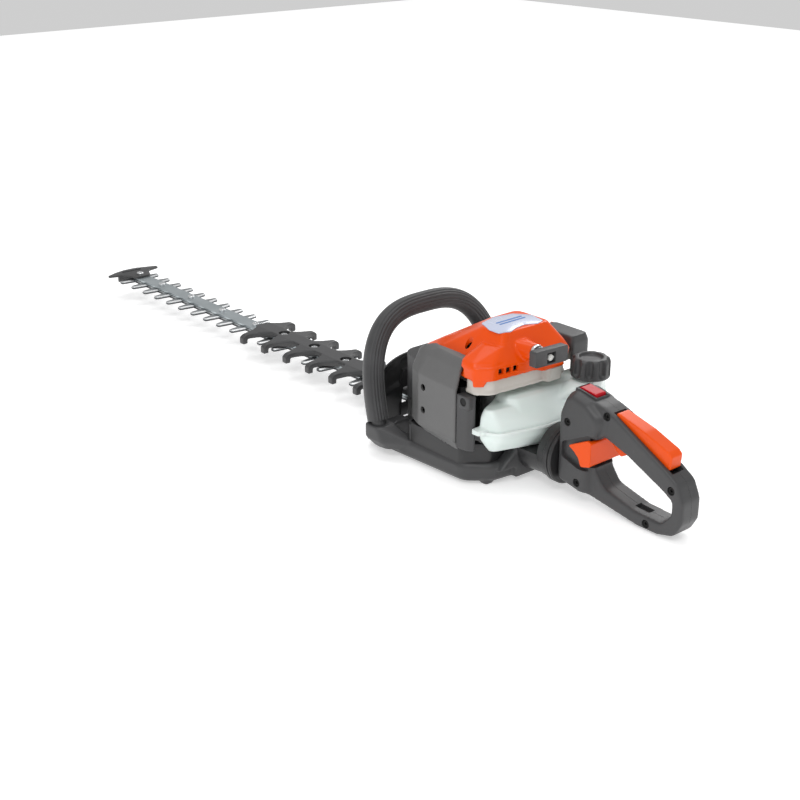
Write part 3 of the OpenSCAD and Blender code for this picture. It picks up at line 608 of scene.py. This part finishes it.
def make_finger_guard():
    spine = prism("guard_spine", [(210, -11.5, 6), (210, 11.5, 6), (-158, 14, 2), (-158, -14, 2)],
                  BAR_TOP, BAR_TOP + 7.4)
    fingers = []
    for i in range(6):
        for side in (-1, 1):
            root = 195 - 53 * i
            stations = [11.55, 14, 17, 20, 24, 28, 32, 36, 39.8, 40, 43, 46, 47.4, 48]
            fingers.append(loft("finger", [finger_section(root, side * y) for y in stations]))
    add(spine, *fingers)
    guard = moulded(spine, 1.1, 4)
    cut(guard, *[rod("recess", (x, 0, 0), 8.2, BAR_TOP + 2, 60) for x in GUARDED_BOLTS])
    cut(guard, *[rod("hole", (x, 0, 0), 3.1, 20, 60) for x in GUARDED_BOLTS])
    cut(guard, block("bar_way", (-170, -11.8, 20), (260, 11.8, BAR_TOP)))
    fit(smooth_shading(guard, 42), BODY, GUARD_GREY, "charcoal_plastic", "finger_guard")


# ---- Engine covers ----

def dome_levels(m):
    """The cover's faceted crown, drawn in by a margin: rim, brow, shoulder and the plateau for the plate."""
    return [
        (138 if m == 0 else 130, housing_plan(COVER_WALL - m)),
        (152 - m, [(-234 - m, -44 + m, 10), (-234 - m, 42 - m, 14), (-256, 62 - m, 12), (-300, 67 - m, 8),
                   (-360 + m, 66 - m, 10), (-365 + m, 10, 60), (-362 + m, -53 + m, 8)]),
        (163 - m, [(-254 - m, -38 + m, 9), (-254 - m, 36 - m, 9), (-302, 60 - m, 8), (-353 + m, 56 - m, 8),
                   (-360 + m, -46 + m, 8)]),
        (185 - m, [(-290 - m, -32 + m, 10), (-290 - m, 14, 10), (-308, 46 - m, 10), (-342 + m, 44 - m, 8),
                   (-344 + m, -32 + m, 8)]),
    ]


def shoulder_levels(m):
    """The bulge over the housing's left rear corner."""
    return [(150 - m, [(-300, 60, 8), (LEFT_SEAM_X - m, 90 - m, 5), (-341 + m, 92 - m, 8),
                       (-358 + m, 74 - m, 12), (-362 + m, 40, 8)]),
            (158 - m, [(-304, 60, 8), (LEFT_SEAM_X - m, 88 - m, 5), (-339 + m, 89 - m, 8),
                       (-355 + m, 70 - m, 12), (-359 + m, 40, 8)]),
            (172 - m, [(-312, 50, 6), (-328, 62 - m, 6), (-348 + m, 54 - m, 6), (-352 + m, 40, 6)])]


def housing_plan(m):
    return [(-213 + m, -50 - m, 14), (-213 + m, 48 + m, 18), (-300, 64 + m, 12), (-325 + m, 65 + m, 2),
            (-325 + m, 86 + m, 6), (-341 - m, 88 + m, 8), (-355 - m, 72 + m, 14), (-361 - m, 0, 60),
            (-356 - m, -50 - m, 10)]


def make_engine_cover():
    rim = prism("rim", housing_plan(COVER_WALL), 138, 154)
    cut(rim, block("front_part", (-321, -80, 130), (-180, 100, 160)))
    cover = add(hull("engine_cover_top", *dome_levels(0)[1:]), rim, hull("shoulder", *shoulder_levels(0)),
                hull("nose", dome_levels(0)[0], dome_levels(0)[1]),
                layered("rope_boss", [(-345, [(8, 152, 5), (36, 152, 5), (36, 176, 8), (8, 176, 8)]),
                                      (-371, [(10.5, 155.5, 9), (29.5, 155.5, 9), (29.5, 174.5, 9),
                                              (10.5, 174.5, 9)])],
                        "x"),
                layered("tab", [(130.5, [(-351, 82, 1), (-343.5, 91.5, 2), (-340, 88, 1), (-347, 79, 1)]),
                                (140, [(-355, 77, 1), (-343, 92.5, 2), (-339, 88, 1), (-350, 74, 1)])]),
                hull("rope_shelf", (138, [(-358, -40, 4), (-358, 12, 4), (-372, 6, 6), (-372, -30, 6)]),
                     (142, [(-358, -40, 4), (-358, 12, 4), (-371, 5, 6), (-371, -29, 6)])))
    cut(cover, prism("lip_step", housing_plan(0.4), 125, 138.8), hull("hollow", *dome_levels(COVER_WALL)),
        hull("shoulder_hollow", *shoulder_levels(COVER_WALL)))
    moulded(cover, 1.15, 4)
    vents = []
    for i in range(3):
        near = 38 + 10.5 * i
        far = near + 7.5
        vents.append(prism("vent", [(-372, near, 0.6), (-372, far, 0.6), (-345, far, 0.6), (-345, near, 0.6)],
                           144.5, 151.5))
    screw_way = rod("screw_way", (*COVER_SCREW, 0), 4.6, 148, 190)
    cut(cover, *vents, screw_way, rod("bushing_way", (0, ROPE_Y, ROPE_Z), 7.1, -380, -335, "x"),
        prism("plate_bed", PLATE, LABEL_BED_Z, 195))
    fit(smooth_shading(cover, 40), BODY, ORANGE, "orange_plastic", "engine_cover")
    # Painted shade: a black plate behind the vent slots and a black disc at the floor of the screw well
    # darken what is seen through these openings.
    painted_shade_plates = block("vent_painted_shade_plates", (-354, 36, 142), (-351.5, 70, 153))
    add(painted_shade_plates, rod("well_floor_painted_shade", (*COVER_SCREW, 0), 6, 146, 150))
    fit(painted_shade_plates, BODY, DEEP_BLACK, "black_plastic")
    bearing_post = edged(rod("pulley_post", (CRANK_X, 0, 0), 5.9, 157, 182), 0.6)
    fit(bearing_post, BODY, ORANGE, "orange_plastic")


PLATE = [(-300, 38, 3), (-322, 47, 3), (-338, 47, 3), (-343, 32, 5), (-338, 18, 4), (-336, 3, 4),
         (-343, -12, 4), (-340, -24, 3), (-316, -29, 4), (-298, -15, 5), (-293, 12, 5)]


def make_label_plate():
    plate = edged(prism("label_plate_film", PLATE, LABEL_BED_Z, 185.9), 0.35)
    fit(plate, BODY, LABEL, "label_film", "label_plate")
    stripes = []
    for x in (-311, -317):
        stripes.append(prism("stripe", [(x, -16, 0.8), (x, 26, 0.8), (x - 2.4, 26, 0.8), (x - 2.4, -16, 0.8)],
                             185.7, 186.3))
    fit(joined("label_stripes", stripes), BODY, LABEL_STRIPE, "label_film")


def make_fan_housing():
    housing = prism("fan_housing_shell", housing_plan(0), 120, 138.4)
    flange = prism("flange", housing_plan(1.2), 120, 123.5)
    boss = hull("boss", (120, [(-352, -36, 4), (-352, -2, 4), (-369, -7, 6), (-369, -30, 6)]),
                (137.5, [(-352, -36, 4), (-352, -2, 4), (-371, -7, 6), (-371, -30, 6)]))
    add(housing, flange, boss)
    cut(housing, prism("hollow", housing_plan(-3), 123, 151), rod("shaft_way", (CRANK_X, 0, 0), 15, 110, 130),
        block("air_way", (-252, -24, 110), (-222, 24, 128)))
    moulded(housing, 1.2, 4)
    fit(smooth_shading(housing, 40), BODY, HOUSING, "housing_plastic", "fan_housing")


def muffler_plan(m):
    return [(-222 - m, MUFFLER_INNER_Y, 1), (-226 - m, 82 - m, 9), (-250, 93 - m, 14), (-290, 96.5 - m, 40),
            (LEFT_SEAM_X, 98 - m, 1), (LEFT_SEAM_X, MUFFLER_INNER_Y, 1)]


def make_muffler_cover():
    def levels(m):
        def top(height, back, inward):
            return (height - m, [(-222 - back - m, MUFFLER_INNER_Y, 1), (-228 - back - m, 79 - inward - m, 4),
                                 (-256 - back / 2, 89 - inward - m, 10), (LEFT_SEAM_X, 95 - inward - m, 1),
                                 (LEFT_SEAM_X, MUFFLER_INNER_Y, 1)])
        return [(58, muffler_plan(m)), (122 - m, muffler_plan(m)), top(136, 2, 1.2), top(146, 7, 3.4),
                top(152, 15, 6.6), top(156, 27, 11),
                (45, [(-234 - m, MUFFLER_INNER_Y, 1), (-238 - m, 80 - m, 6), (-262, 87 - m, 12),
                      (LEFT_SEAM_X, 92 - m, 1), (LEFT_SEAM_X, MUFFLER_INNER_Y, 1)])]
    cover = add(hull("muffler_shell", *levels(0)),
                hull("lower_lip", (56, muffler_plan(-0.6)), (58.5, muffler_plan(-0.6))))
    hollow = [(36 if z == 45 else z, [(x if x > -300 else -335, y if y > 71 else 50, 0) for x, y, _ in plan])
              for z, plan in levels(3)]
    cut(cover, hull("hollow", *hollow))
    moulded(cover, 1.2, 5)
    screw_heights = (107, 78)
    cut(cover, *[rod("hole", (-260, 0, z), 4.3, 88, 120, "y") for z in screw_heights])
    fit(smooth_shading(cover, 40), BODY, COVER_GREY, "grey_plastic", "muffler_cover")
    # Painted shade: thin black discs just behind the screw holes darken the recesses.
    well = [(0, 88.2), (5.4, 88.2), (5.4, 86.8), (0, 86.8)]
    painted_shade_discs = joined("screw_painted_shade_discs", [turned("well", well, (-260, 0, z), "y", 24) for z in screw_heights])
    fit(painted_shade_discs, BODY, DEEP_BLACK, "black_plastic")


def make_side_panel():
    plan = [(-321.2, 84, 0.5), (-321.2, 96.4, 0.5), (-338, 94.4, 5), (-345, 88, 3), (-341, 84, 1)]
    inner = [(-319, 80, 0), (-319, 93, 0), (-337, 91, 3), (-341.5, 88, 2), (-337, 80, 1)]
    panel = prism("rear_side_panel", plan, 50, 118)
    cut(panel, prism("hollow", inner, 53, 102))
    boss = prism("boss", [(-325, 103, 3), (-343, 103, 3), (-343, 118.5, 3), (-325, 118.5, 3)], 88, 96.6, "y")
    add(panel, boss)
    moulded(panel, 1.0, 4)
    screw = (-333, 0, 111)
    cut(panel, rod("counterbore", screw, 5.0, 94.15, 100, "y"), rod("hole", screw, 2.6, 80, 100, "y"))
    fit(smooth_shading(panel, 40), BODY, CHARCOAL, "charcoal_plastic", "side_panel")


def make_air_box():
    box = add(hull("air_filter_box", (114, [(-286, -62, 5), (-286, -98, 10), (-353, -96, 8), (-353, -62, 4)]),
                   (150, [(-288, -62, 5), (-288, -98, 10), (-353, -96, 8), (-353, -62, 4)]),
                   (159, [(-296, -64, 4), (-296, -92, 8), (-351, -92, 6), (-351, -64, 4)])),
              prism("seam_rib", [(-284.5, -64, 5), (-284.5, -99, 10), (-354.5, -97, 8), (-354.5, -64, 4)],
                    126, 129))
    cut(box, prism("hollow", [(-289, -50, 0), (-289, -95, 8), (-350, -93, 6), (-350, -50, 0)], 100, 146))
    moulded(box, 1.3, 5)
    ribs = [block("slot", (-300 - 9 * i, -110, 135), (-296 - 9 * i, -94, 150)) for i in range(5)]
    cut(box, *ribs)
    fit(smooth_shading(box, 40), BODY, CHARCOAL, "charcoal_plastic", "air_filter_cover")


def make_starter_grip():
    """The flat pull bar, the knot in its pocket, and the ringed bushing that the rope leaves by."""
    bar = prism("pull_bar", [(-7, 155.5, 2.5), (46, 158, 2.5), (46, 177, 2.5), (-7, 175, 2.5)],
                -397, -387, "x")
    cut(bar, prism("pocket", [(13, 158.5, 1), (27, 159, 1), (27, 172, 1), (13, 171.5, 1)], -400, -391.5, "x"))
    edged(bar, 1.2, 3)
    cut(bar, rod("rope_way", (0, ROPE_Y, ROPE_Z), 1.85, -400, -380, "x"))
    fit(bar, "pull_grip", CHARCOAL, "charcoal_plastic", "starter_handle")
    knot = reshape(turned("rope_knot", [(0, 3.2), (2.6, 2.4), (4.2, 0), (3.4, -2.4), (0, -3.2)],
                          (-394.6, ROPE_Y, ROPE_Z), "x", 24),
                   lambda x, y, z: (x + 0.7 * math.sin(0.9 * y + 1.3 * z), y, z))
    fit(smooth_shading(knot), "pull_grip", ROPE, "bright_steel")
    bushing = turned("rope_bushing_ring", [(2.2, -350), (7, -350), (7, -371), (9.2, -371.4), (10, -373),
                                           (9.2, -375.4), (7.4, -376), (5.6, -374.6), (5.2, -368),
                                           (2.2, -366)],
                     (0, ROPE_Y, ROPE_Z), "x")
    bushing.data.flip_normals()
    fit(smooth_shading(bushing, 45), BODY, BRIGHT_STEEL, "bright_steel", "rope_bushing")


# ---- Tank ----

def make_tank():
    def base(m):
        return [(-329 - m, -92 + m, 10), (-329 - m, 40 - m, 10), (-350, 78 - m, 5), (-362 + m, 70 - m, 12),
                (-379 + m, 10, 50), (-374 + m, -92 + m, 12)]

    def seam(m):
        return [(-329 - m, -106 + m, 8), (-329 - m, 46 - m, 10), (-349, 88 - m, 4), (-373 + m, 76 - m, 16),
                (-389 + m, 10, 60), (-386 + m, -50, 30), (-382 + m, -110 + m, 10)]

    shell = hull("fuel_tank_shell", (48, base(4)), (53, base(1)), (66, seam(2.4)), (74, seam(0.8)),
                 (80, seam(1)),
                 (94, [(-329, -100, 8), (-329, 46, 10), (-348, 84, 4), (-364, 74, 12), (-374, 10, 50),
                       (-380, -104, 10)]),
                 (101.5, [(-331, -96, 6), (-331, 44, 8), (-348, 80, 5), (-358, 72, 8), (-366, 10, 50),
                          (-374, -98, 8)]))
    shoulder = hull("shoulder", (94, [(-330, -98, 8), (-330, 50, 4), (-358, 51, 5), (-370, 40, 12),
                                      (-378, -30, 30), (-384, -102, 10)]),
                    (108, [(-333, -94, 8), (-333, 46, 5), (-354, 46, 5), (-362, 38, 10), (-368, -20, 20),
                           (-376, -96, 10)]),
                    (111, [(-336, -90, 8), (-336, 42, 5), (-352, 42, 5), (-357, 34, 8), (-362, -20, 20),
                           (-372, -92, 10)]))
    add(shell, hull("cap_rise", (96, [(-350, -96, 10), (-350, -24, 10), (-372, -12, 12), (-388, -50, 20),
                                      (-384, -100, 10)]),
                    (119, [(-372, -76, 10), (-372, -38, 10), (-404, -38, 14), (-404, -76, 14)])))
    add(shell, shoulder, rod("neck", (CAP[0], CAP[1], 0), 15, 108, 131),
        prism("lug", [(-344, 80, 2), (-344, 91, 3), (-357, 91, 3), (-362, 78, 2)], 73.4, 80.6))
    cut(shell, rod("filler", (CAP[0], CAP[1], 0), 12, 104, 140),
        hull("fuel_room", (55, base(5)), (74, seam(5)), (86, base(9))))
    moulded(shell, 1.3, 6)
    fit(shell, BODY, TANK, "tank_plastic", "fuel_tank")
    flange = add(prism("tank_seam", seam(-1.9), 75.3, 78.3),
                 prism("seam_lug", [(-344, 82, 1), (-344, 93, 2), (-355, 93, 2), (-362, 80, 1)], 74.3, 79.9))
    cut(flange, prism("inside", seam(4), 60, 90))
    fit(edged(flange, 0.5), BODY, TANK, "tank_plastic")


def make_cap():
    """The ribbed fuel cap: deep scallops round its rim and a sunken disc on top."""
    x, y, z = CAP
    cap = turned("ribbed_fuel_cap", [(0, z), (22.2, z), (23.5, z + 1.5), (23.5, z + 19), (22.4, z + 22.6),
                                     (19.5, z + 24.6), (14.4, z + 25), (13, z + 21.6), (0, z + 21.4)],
                 (x, y, 0))
    scallops = []
    count, ring_radius = 9, 24.2
    for i in range(count):
        angle = math.radians(360 / count * i + 8)
        centre = (x + ring_radius * math.cos(angle), y + ring_radius * math.sin(angle), 0)
        scallops.append(turned("scallop", [(0, z + 3), (3, z + 3.5), (5, z + 6), (5.4, z + 20), (5.4, z + 30),
                                           (0, z + 30)], centre, steps=20))
    cut(cap, *scallops)
    cut(cap, rod("neck_way", (x, y, 0), 15.3, z - 1, z + 10))
    moulded(cap, 0.75, 3)
    fit(smooth_shading(cap, 50), "cap", CHARCOAL, "charcoal_plastic", "fuel_cap")


# ---- Frame, front handle and shield ----

def bow_plan(m):
    return [(-158 - m, -98 + m, 16), (-158 - m, 98 - m, 16), (-200, 96 - m, 20), (-325, 90 - m, 20),
            (-352 + m, 62 - m, 22), (-358 + m, 0, 60), (-352 + m, -62 + m, 22), (-325, -90 + m, 20),
            (-200, -96 + m, 20)]


def make_bow():
    bow = hull("frame_bow_beam", (4, bow_plan(5)), (9, bow_plan(0.5)), (23, bow_plan(0)), (28, bow_plan(3.5)))
    cut(bow, prism("window", bow_plan(20), -5, 40))
    parts = [block("rear_block", (-361.5, -34, 6), (-333, 34, 46)),
             hull("rear_web", (20, [(-361, -60, 6), (-361, 60, 6), (-340, 60, 6), (-340, -60, 6)]),
                  (40, [(-361, -36, 6), (-361, 36, 6), (-344, 36, 6), (-344, -36, 6)]))]
    for side in (-1, 1):
        parts.append(hull("loop_foot", (12, [(-178, side * 80, 3), (-182, side * 110, 12),
                                             (-208, side * 108, 12), (-236, side * 80, 3)]),
                          (24, [(-172, side * 80, 3), (-174, side * 118, 10), (-210, side * 117, 12),
                                (-244, side * 84, 3)]),
                          (42, [(-177, side * 90, 4), (-177, side * 118.4, 6), (-205, side * 118.4, 8),
                                (-205, side * 90, 4)])))
        parts += [rod("foot", (-337, side * 60, 0), 8, 0, 7), rod("foot", (-176, side * 84, 0), 8, 0, 7)]
    add(bow, *parts)
    moulded(bow, 1.7, 5)
    cut(bow, block("gearcase_dip", (-186, -45, 21.5), (-145, 45, 60)))
    fit(smooth_shading(bow, 40), BODY, CHARCOAL, "charcoal_plastic", "frame_bow")


def make_belly_pan():
    """The black tray between the bow and the covers, with its wall up behind them."""
    plan = [(-224, -91, 12), (-224, 91, 12), (-322, 88, 14), (-344, 62, 12), (-344, -60, 12), (-322, -88, 14)]
    inner = [(x + (3 if x < -300 else -3), y + (3 if y < 0 else -3), r - 3) for x, y, r in plan]
    pan = prism("belly_pan", plan, 26, 52)
    window = [(-200, -60, 0), (-200, 60, 0), (-320, 60, 12), (-320, -60, 12)]
    cut(pan, prism("pan_room", inner, 29, 70), prism("pan_window", window, 20, 40),
        block("neck_way", (-240, -60, 20), (-150, 60, 70)))
    fit(edged(pan, 0.8), BODY, DEEP_BLACK, "black_plastic")


LOOP_NORMAL = Vector((1, 0, -LOOP_LEAN)).normalized()


def loop_point(degrees):
    """A point of the front handle's centreline: a squared arch that leans forward."""
    a = math.radians(degrees)
    z = 28 + 141 * max(math.sin(a), 0) ** (2 / 2.9)
    y = 105 * math.copysign(abs(math.cos(a)) ** (2 / 2.9), math.cos(a))
    return Vector((-202 + LOOP_LEAN * z, y, z))


def loop_stations(start, end, step):
    angles = [start + step * i for i in range(int((end - start) / step) + 1)]
    stations = []
    for a in angles:
        ahead = (loop_point(min(a + 1, 180)) - loop_point(max(a - 1, 0))).normalized()
        stations.append((loop_point(a), LOOP_NORMAL.cross(ahead), LOOP_NORMAL))
    return stations


def make_front_grip():
    """The rubber sleeve, with five grooves along the side that faces the user."""
    groove_angles = [math.radians(a) for a in (222, 240, 258, 276, 294)]
    sleeve_radius, groove_depth, groove_reach = 13.4, 0.95, 0.075

    def section(_station):
        ring = []
        for i in range(90):
            angle = 2 * math.pi * i / 90
            depth = max(1 - abs(angle - g) / groove_reach for g in groove_angles)
            radius = sleeve_radius - groove_depth * min(max(depth, 0) * 2, 1)
            ring.append((radius * math.cos(angle), radius * math.sin(angle)))
        return ring
    grip = swept("front_grip_sleeve", loop_stations(3, 177, 2), section)
    fit(smooth_shading(grip, 60), BODY, RUBBER, "soft_rubber", "front_grip")


def make_shield():
    """The dished wall in front of the hands, with a rolled rim and a way out for the bar."""
    columns, rows = 72, 20
    radius, middle = 160.0, -285.0
    half_width, wall = 98.5, 3.0

    def sheet(inward):
        points = []
        for j in range(columns + 1):
            y = -half_width + 2 * half_width * j / columns
            crown = max(1 - (y / 99) ** 2, 0) ** 0.4
            high = 32 + 64.5 * crown
            low = 9 + 39 * ease(18 - abs(y), 0, 3)
            for i in range(rows + 1):
                t = i / rows
                roll = 6 * ease(t, 0.82, 1.0) * crown
                step = 2.2 * ease(t, 0.5, 0.56) * ease(86 - abs(y), 0, 10)
                reach = radius - inward - roll + step - 2.2
                across = math.asin(y / radius)
                points.append((middle + reach * math.cos(across), y, low + (high - low) * t))
        return points
    outer, inner = sheet(0.0), sheet(wall)
    offset, span = len(outer), rows + 1
    faces = []
    for j in range(columns):
        for i in range(rows):
            a, b = j * span + i, (j + 1) * span + i
            faces += [(a, b, b + 1, a + 1), (offset + a, offset + a + 1, offset + b + 1, offset + b)]
    edge = [j * span for j in range(columns + 1)] + [columns * span + i for i in range(1, span)]
    edge += [j * span + rows for j in range(columns - 1, -1, -1)] + [i for i in range(rows - 1, 0, -1)]
    for k, a in enumerate(edge):
        b = edge[(k + 1) % len(edge)]
        faces.append((b, a, offset + a, offset + b))
    shield = solid("hand_shield_wall", outer + inner, faces)
    sill = edged(block("shield_sill", (-133.5, -19.5, 9.5), (-129.4, 19.5, 27)), 0.5)
    fit(sill, BODY, DEEP_BLACK, "black_plastic")
    fit(smooth_shading(shield, 35), BODY, DEEP_BLACK, "black_plastic", "hand_shield")


# ---- Rear handle ----

HANDLE_OUTLINE = [(HANDLE_X, 20, 6), (HANDLE_X, 108, 8), (-424, 130, 8), (-433, 135, 6), (-458, 129.5, 8),
                  (-474, 126, 20), (-490, 120.5, 8), (-566, 81, 10), (-583, 70, 14), (-592, 50, 16),
                  (-592, 26, 14), (-582, 8, 12), (-560, 2.5, 14), (-530, 2.5, 30), (-462, 13, 20),
                  (-440, 18, 20)]
HAND_HOLE = [(-480, 30, 14), (-468, 46, 12), (-461, 74, 10), (-476, 92, 8), (-510, 81, 10), (-564, 56, 8),
             (-577, 48, 6), (-577, 32, 8), (-564, 17, 8), (-524, 19, 20)]
SCREWS = [(-430, 98, 25), (-480, 117.5, 16), (-448, 28, 25), (-575, 61, 16), (-544, 9.5, 16)]
TRIGGER = [(-470, 110, 3), (-480, 110.5, 2), (-510, 84, 3), (-505, 77, 3), (-495, 71, 3), (-482, 83, 6),
           (-471, 95, 3)]
LOCKOUT = [(-487, 117, 1.5), (-489, 123.5, 1.5), (-530, 113, 40), (-563, 100.5, 3), (-568, 96, 2),
           (-566.5, 80, 1.5), (-556, 80, 2), (-530, 95, 30), (-494, 112, 2)]
SWITCH = [(-431, 128, 2), (-431, 137.5, 2), (-443, 136, 1), (-456, 134.5, 2), (-457, 126, 2), (-444, 121, 4)]
LATCH = [(-434, 71, 1.5), (-462, 85, 3), (-468, 84, 3), (-468, 54, 3), (-454, 50, 2), (-450, 60, 12),
         (-443, 66, 12)]


def body_side(y):
    """The wide front body's side profile at a distance from the middle: it draws in as it bulges out."""
    d = 7 * (abs(y) / 25) ** 4
    return [(HANDLE_X - 0.4 * d, 20 + 0.8 * d, 6), (HANDLE_X - 0.4 * d, 108 - d / 2, 8),
            (-424 - d / 3, 130 - 0.9 * d, 8), (-434, 135 - 0.9 * d, 6), (-458 + d / 2, 129.5 - 0.9 * d, 8),
            (-484 + 1.8 * d, 112 - d / 3, 14), (-471 + d / 2, 88, 10), (-462 + d / 4, 70, 10),
            (-465 + d, 40, 12), (-466 + 1.6 * d, 13.5 + d / 2, 6)]


def make_rear_handle():
    handle = prism("handle", HANDLE_OUTLINE, -15.8, 15.8, "y", 8)
    widths = [-25, -24, -21, -17, -12, 0, 12, 17, 21, 24, 25]
    add(handle, layered("body", [(y, body_side(y)) for y in widths], "y"))
    cut(handle, prism("hole", HAND_HOLE, -60, 60, "y", 8))
    moulded(handle, 1.5, 16)
    rooms = [
        rod("spigot_way", (0, 0, PIVOT_Z), 19.1, HANDLE_X - 21, HANDLE_X + 5, "x", 48),
        prism("trigger_room", [(-468, 60), (-468, 113), (-516, 100), (-516, 60)], -7, 7, "y"),
        prism("lockout_room", [(-484.5, 108), (-484.5, 150), (-571, 120), (-571, 71), (-552, 71)],
              -10, 10, "y"),
        prism("switch_room", [(-429.6, 118), (-429.6, 150), (-458.4, 150), (-458.4, 118)], -9, 9, "y"),
        prism("band_way", [(-461.5, 50), (-461.5, 87), (-480, 87), (-480, 50)], -40, 40, "y"),
        prism("inner_slot", [(-520, 14, 2), (-520, 26, 2), (-540, 26, 2), (-540, 14, 2)], -5, 5, "y"),
    ]
    latch_room = [(-423, 54, 4), (-423, 72, 4), (-436, 78, 4), (-462, 91, 2), (-480, 91, 0), (-480, 46, 0),
                  (-448, 46, 4)]
    for side in (-1, 1):
        low, high = sorted((side * 20, side * 40))
        rooms.append(prism("latch_room", latch_room, low, high, "y"))
    add(handle, prism("switch_frame", [(-427.4, 126, 1), (-428.4, 136.8, 1.5), (-443, 134.6, 1),
                                       (-459.4, 131.6, 1.5), (-460, 122, 1)], -11.4, 11.4, "y"))
    for x, z, half in SCREWS:
        rooms.append(rod("screw_hole", (x, 0, z), 2.55, -40, 40, "y", 24))
        for side in (-1, 1):
            rooms.append(rod("recess", (x, 0, z), 5.0, min(side * (half - 3.4), side * 40),
                             max(side * (half - 3.4), side * 40), "y", 32))
    cut(handle, *rooms)
    for side, name in ((1, "left"), (-1, "right")):
        shell = handle.copy()
        shell.data = handle.data.copy()
        shell.name = "handle_shell_" + name
        bpy.context.collection.objects.link(shell)
        low, high = sorted((side * -40, side * 0.12))
        cut(shell, block("other_half", (-640, low, -20), (-400, high, 200)))
        fit(smooth_shading(shell, 38), "rear_handle", CHARCOAL, "charcoal_plastic", "rear_handle_" + name)
    bpy.data.objects.remove(handle)


def make_handle_screws():
    screws = []
    for x, z, half in SCREWS:
        for side in (-1, 1):
            face = half - 1.6
            profile = [(0, face - 1.4), (1.9, face - 1.4), (1.9, face), (4.1, face), (4.5, face - 0.5),
                       (4.5, half - 3.3), (2.5, half - 3.3), (2.5, 0.5), (0, 0.5)]
            screws.append(turned("screw", [(r, side * t) for r, t in profile], (x, 0, z), "y", 32))
    fit(smooth_shading(joined("shell_screws", screws), 30), "rear_handle", BLACK_STEEL, "black_screws",
        "handle_screws")


def make_controls():
    trigger = moulded(cut(prism("trigger_lever", TRIGGER, -6.4, 6.4, "y"),
                          rod("pin_way", (-474, 0, 108), 2.2, -10, 10, "y")), 0.7, 6)
    fit(trigger, "trigger", ORANGE_LEVER, "orange_plastic", "throttle_trigger")
    lockout = moulded(prism("lockout_wedge", LOCKOUT, -9.4, 9.4, "y"), 0.8, 5)
    fit(lockout, "lockout", ORANGE_LEVER, "orange_plastic", "throttle_lockout")
    switch = moulded(prism("rocker_switch", SWITCH, -8.4, 8.4, "y"), 0.6, 4)
    fit(switch, "switch", RED, "red_plastic", "stop_switch")
    cheeks = [prism("cheek", LATCH, 22.1, 26.4, "y"), prism("cheek", LATCH, -26.4, -22.1, "y")]
    band = add(prism("latch_band", [(-462.6, 54, 1), (-462.6, 84, 1), (-468, 84, 2), (-468, 54, 2)],
                     -23, 23, "y"),
               *cheeks)
    fit(moulded(band, 0.8, 5), "latch", ORANGE_LEVER, "orange_plastic", "handle_latch")


def make_pivot_ring():
    """The round joint that the rear handle turns on: a deep disc with a groove round its rim."""
    disc = turned("pivot_disc", [(12, -435), (19, -435), (19, -415.9), (34.5, -415.9), (36, -414.4),
                                 (36, -412.2), (34.8, -411.8), (34.8, -410.6), (36, -410.2),
                                 (36, -405), (34.4, -403.6),
                                 (33.4, -392.4), (12, -392.4)], (0, 0, PIVOT_Z), "x", 96)
    arm = turned("arm", [(0, -395), (32, -395), (34, -361.9), (0, -361.9)], (0, 0, PIVOT_Z), "x", 64)
    cut(arm, block("above", (-400, -60, 46), (-350, 60, 100)))
    add(disc, arm)
    cut(disc, rod("bore", (0, 0, PIVOT_Z), 12, -440, -396, "x"))
    fit(smooth_shading(disc, 35), BODY, DEEP_BLACK, "black_plastic", "handle_pivot_ring")


# ---- Assembly ----

make_camera()
make_studio()

for finish, nodes in NODE_FINISHES.items():
    for node in nodes:
        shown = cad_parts[node]
        shown.data.materials.clear()
        shown.data.materials.append(finish)
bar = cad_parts["guide_bar"]
bar.data.materials.clear()
bar.data.materials.append(BAR_STEEL)

make_blade("upper_blade", "upper_blade_set", 32.15, 0.0, 2.6, BLADE_STEEL, GROUND_STEEL, "blade_steel")
make_blade("lower_blade", "lower_blade_set", 29.45, 2.6, 0.0, DARK_STEEL, DARK_STEEL, "dark_steel")
make_bolts()
make_tip_guard()
make_finger_guard()
make_engine_cover()
make_label_plate()
make_fan_housing()
make_muffler_cover()
make_side_panel()
make_air_box()
make_starter_grip()
make_tank()
make_cap()
make_bow()
make_belly_pan()
make_front_grip()
make_shield()
make_rear_handle()
make_handle_screws()
make_controls()
make_pivot_ring()

reach, floor_z = 4000, -0.3
floor = solid("floor", [(-reach, -reach, floor_z), (reach, -reach, floor_z), (reach, reach, floor_z),
                        (-reach, reach, floor_z)], [(0, 1, 2, 3)])
pale = Finish("pale_floor", Roughness=0.9, Emission_Strength=0.42)
pale.shader.inputs["Emission Color"].default_value = (1.0, 1.0, 1.0, 1.0)
pale.feed("Base Color", pale.blend(pale.noise(3.0), (0.93, 0.93, 0.93), (0.95, 0.95, 0.95)))
floor.data.materials.append(pale.material)
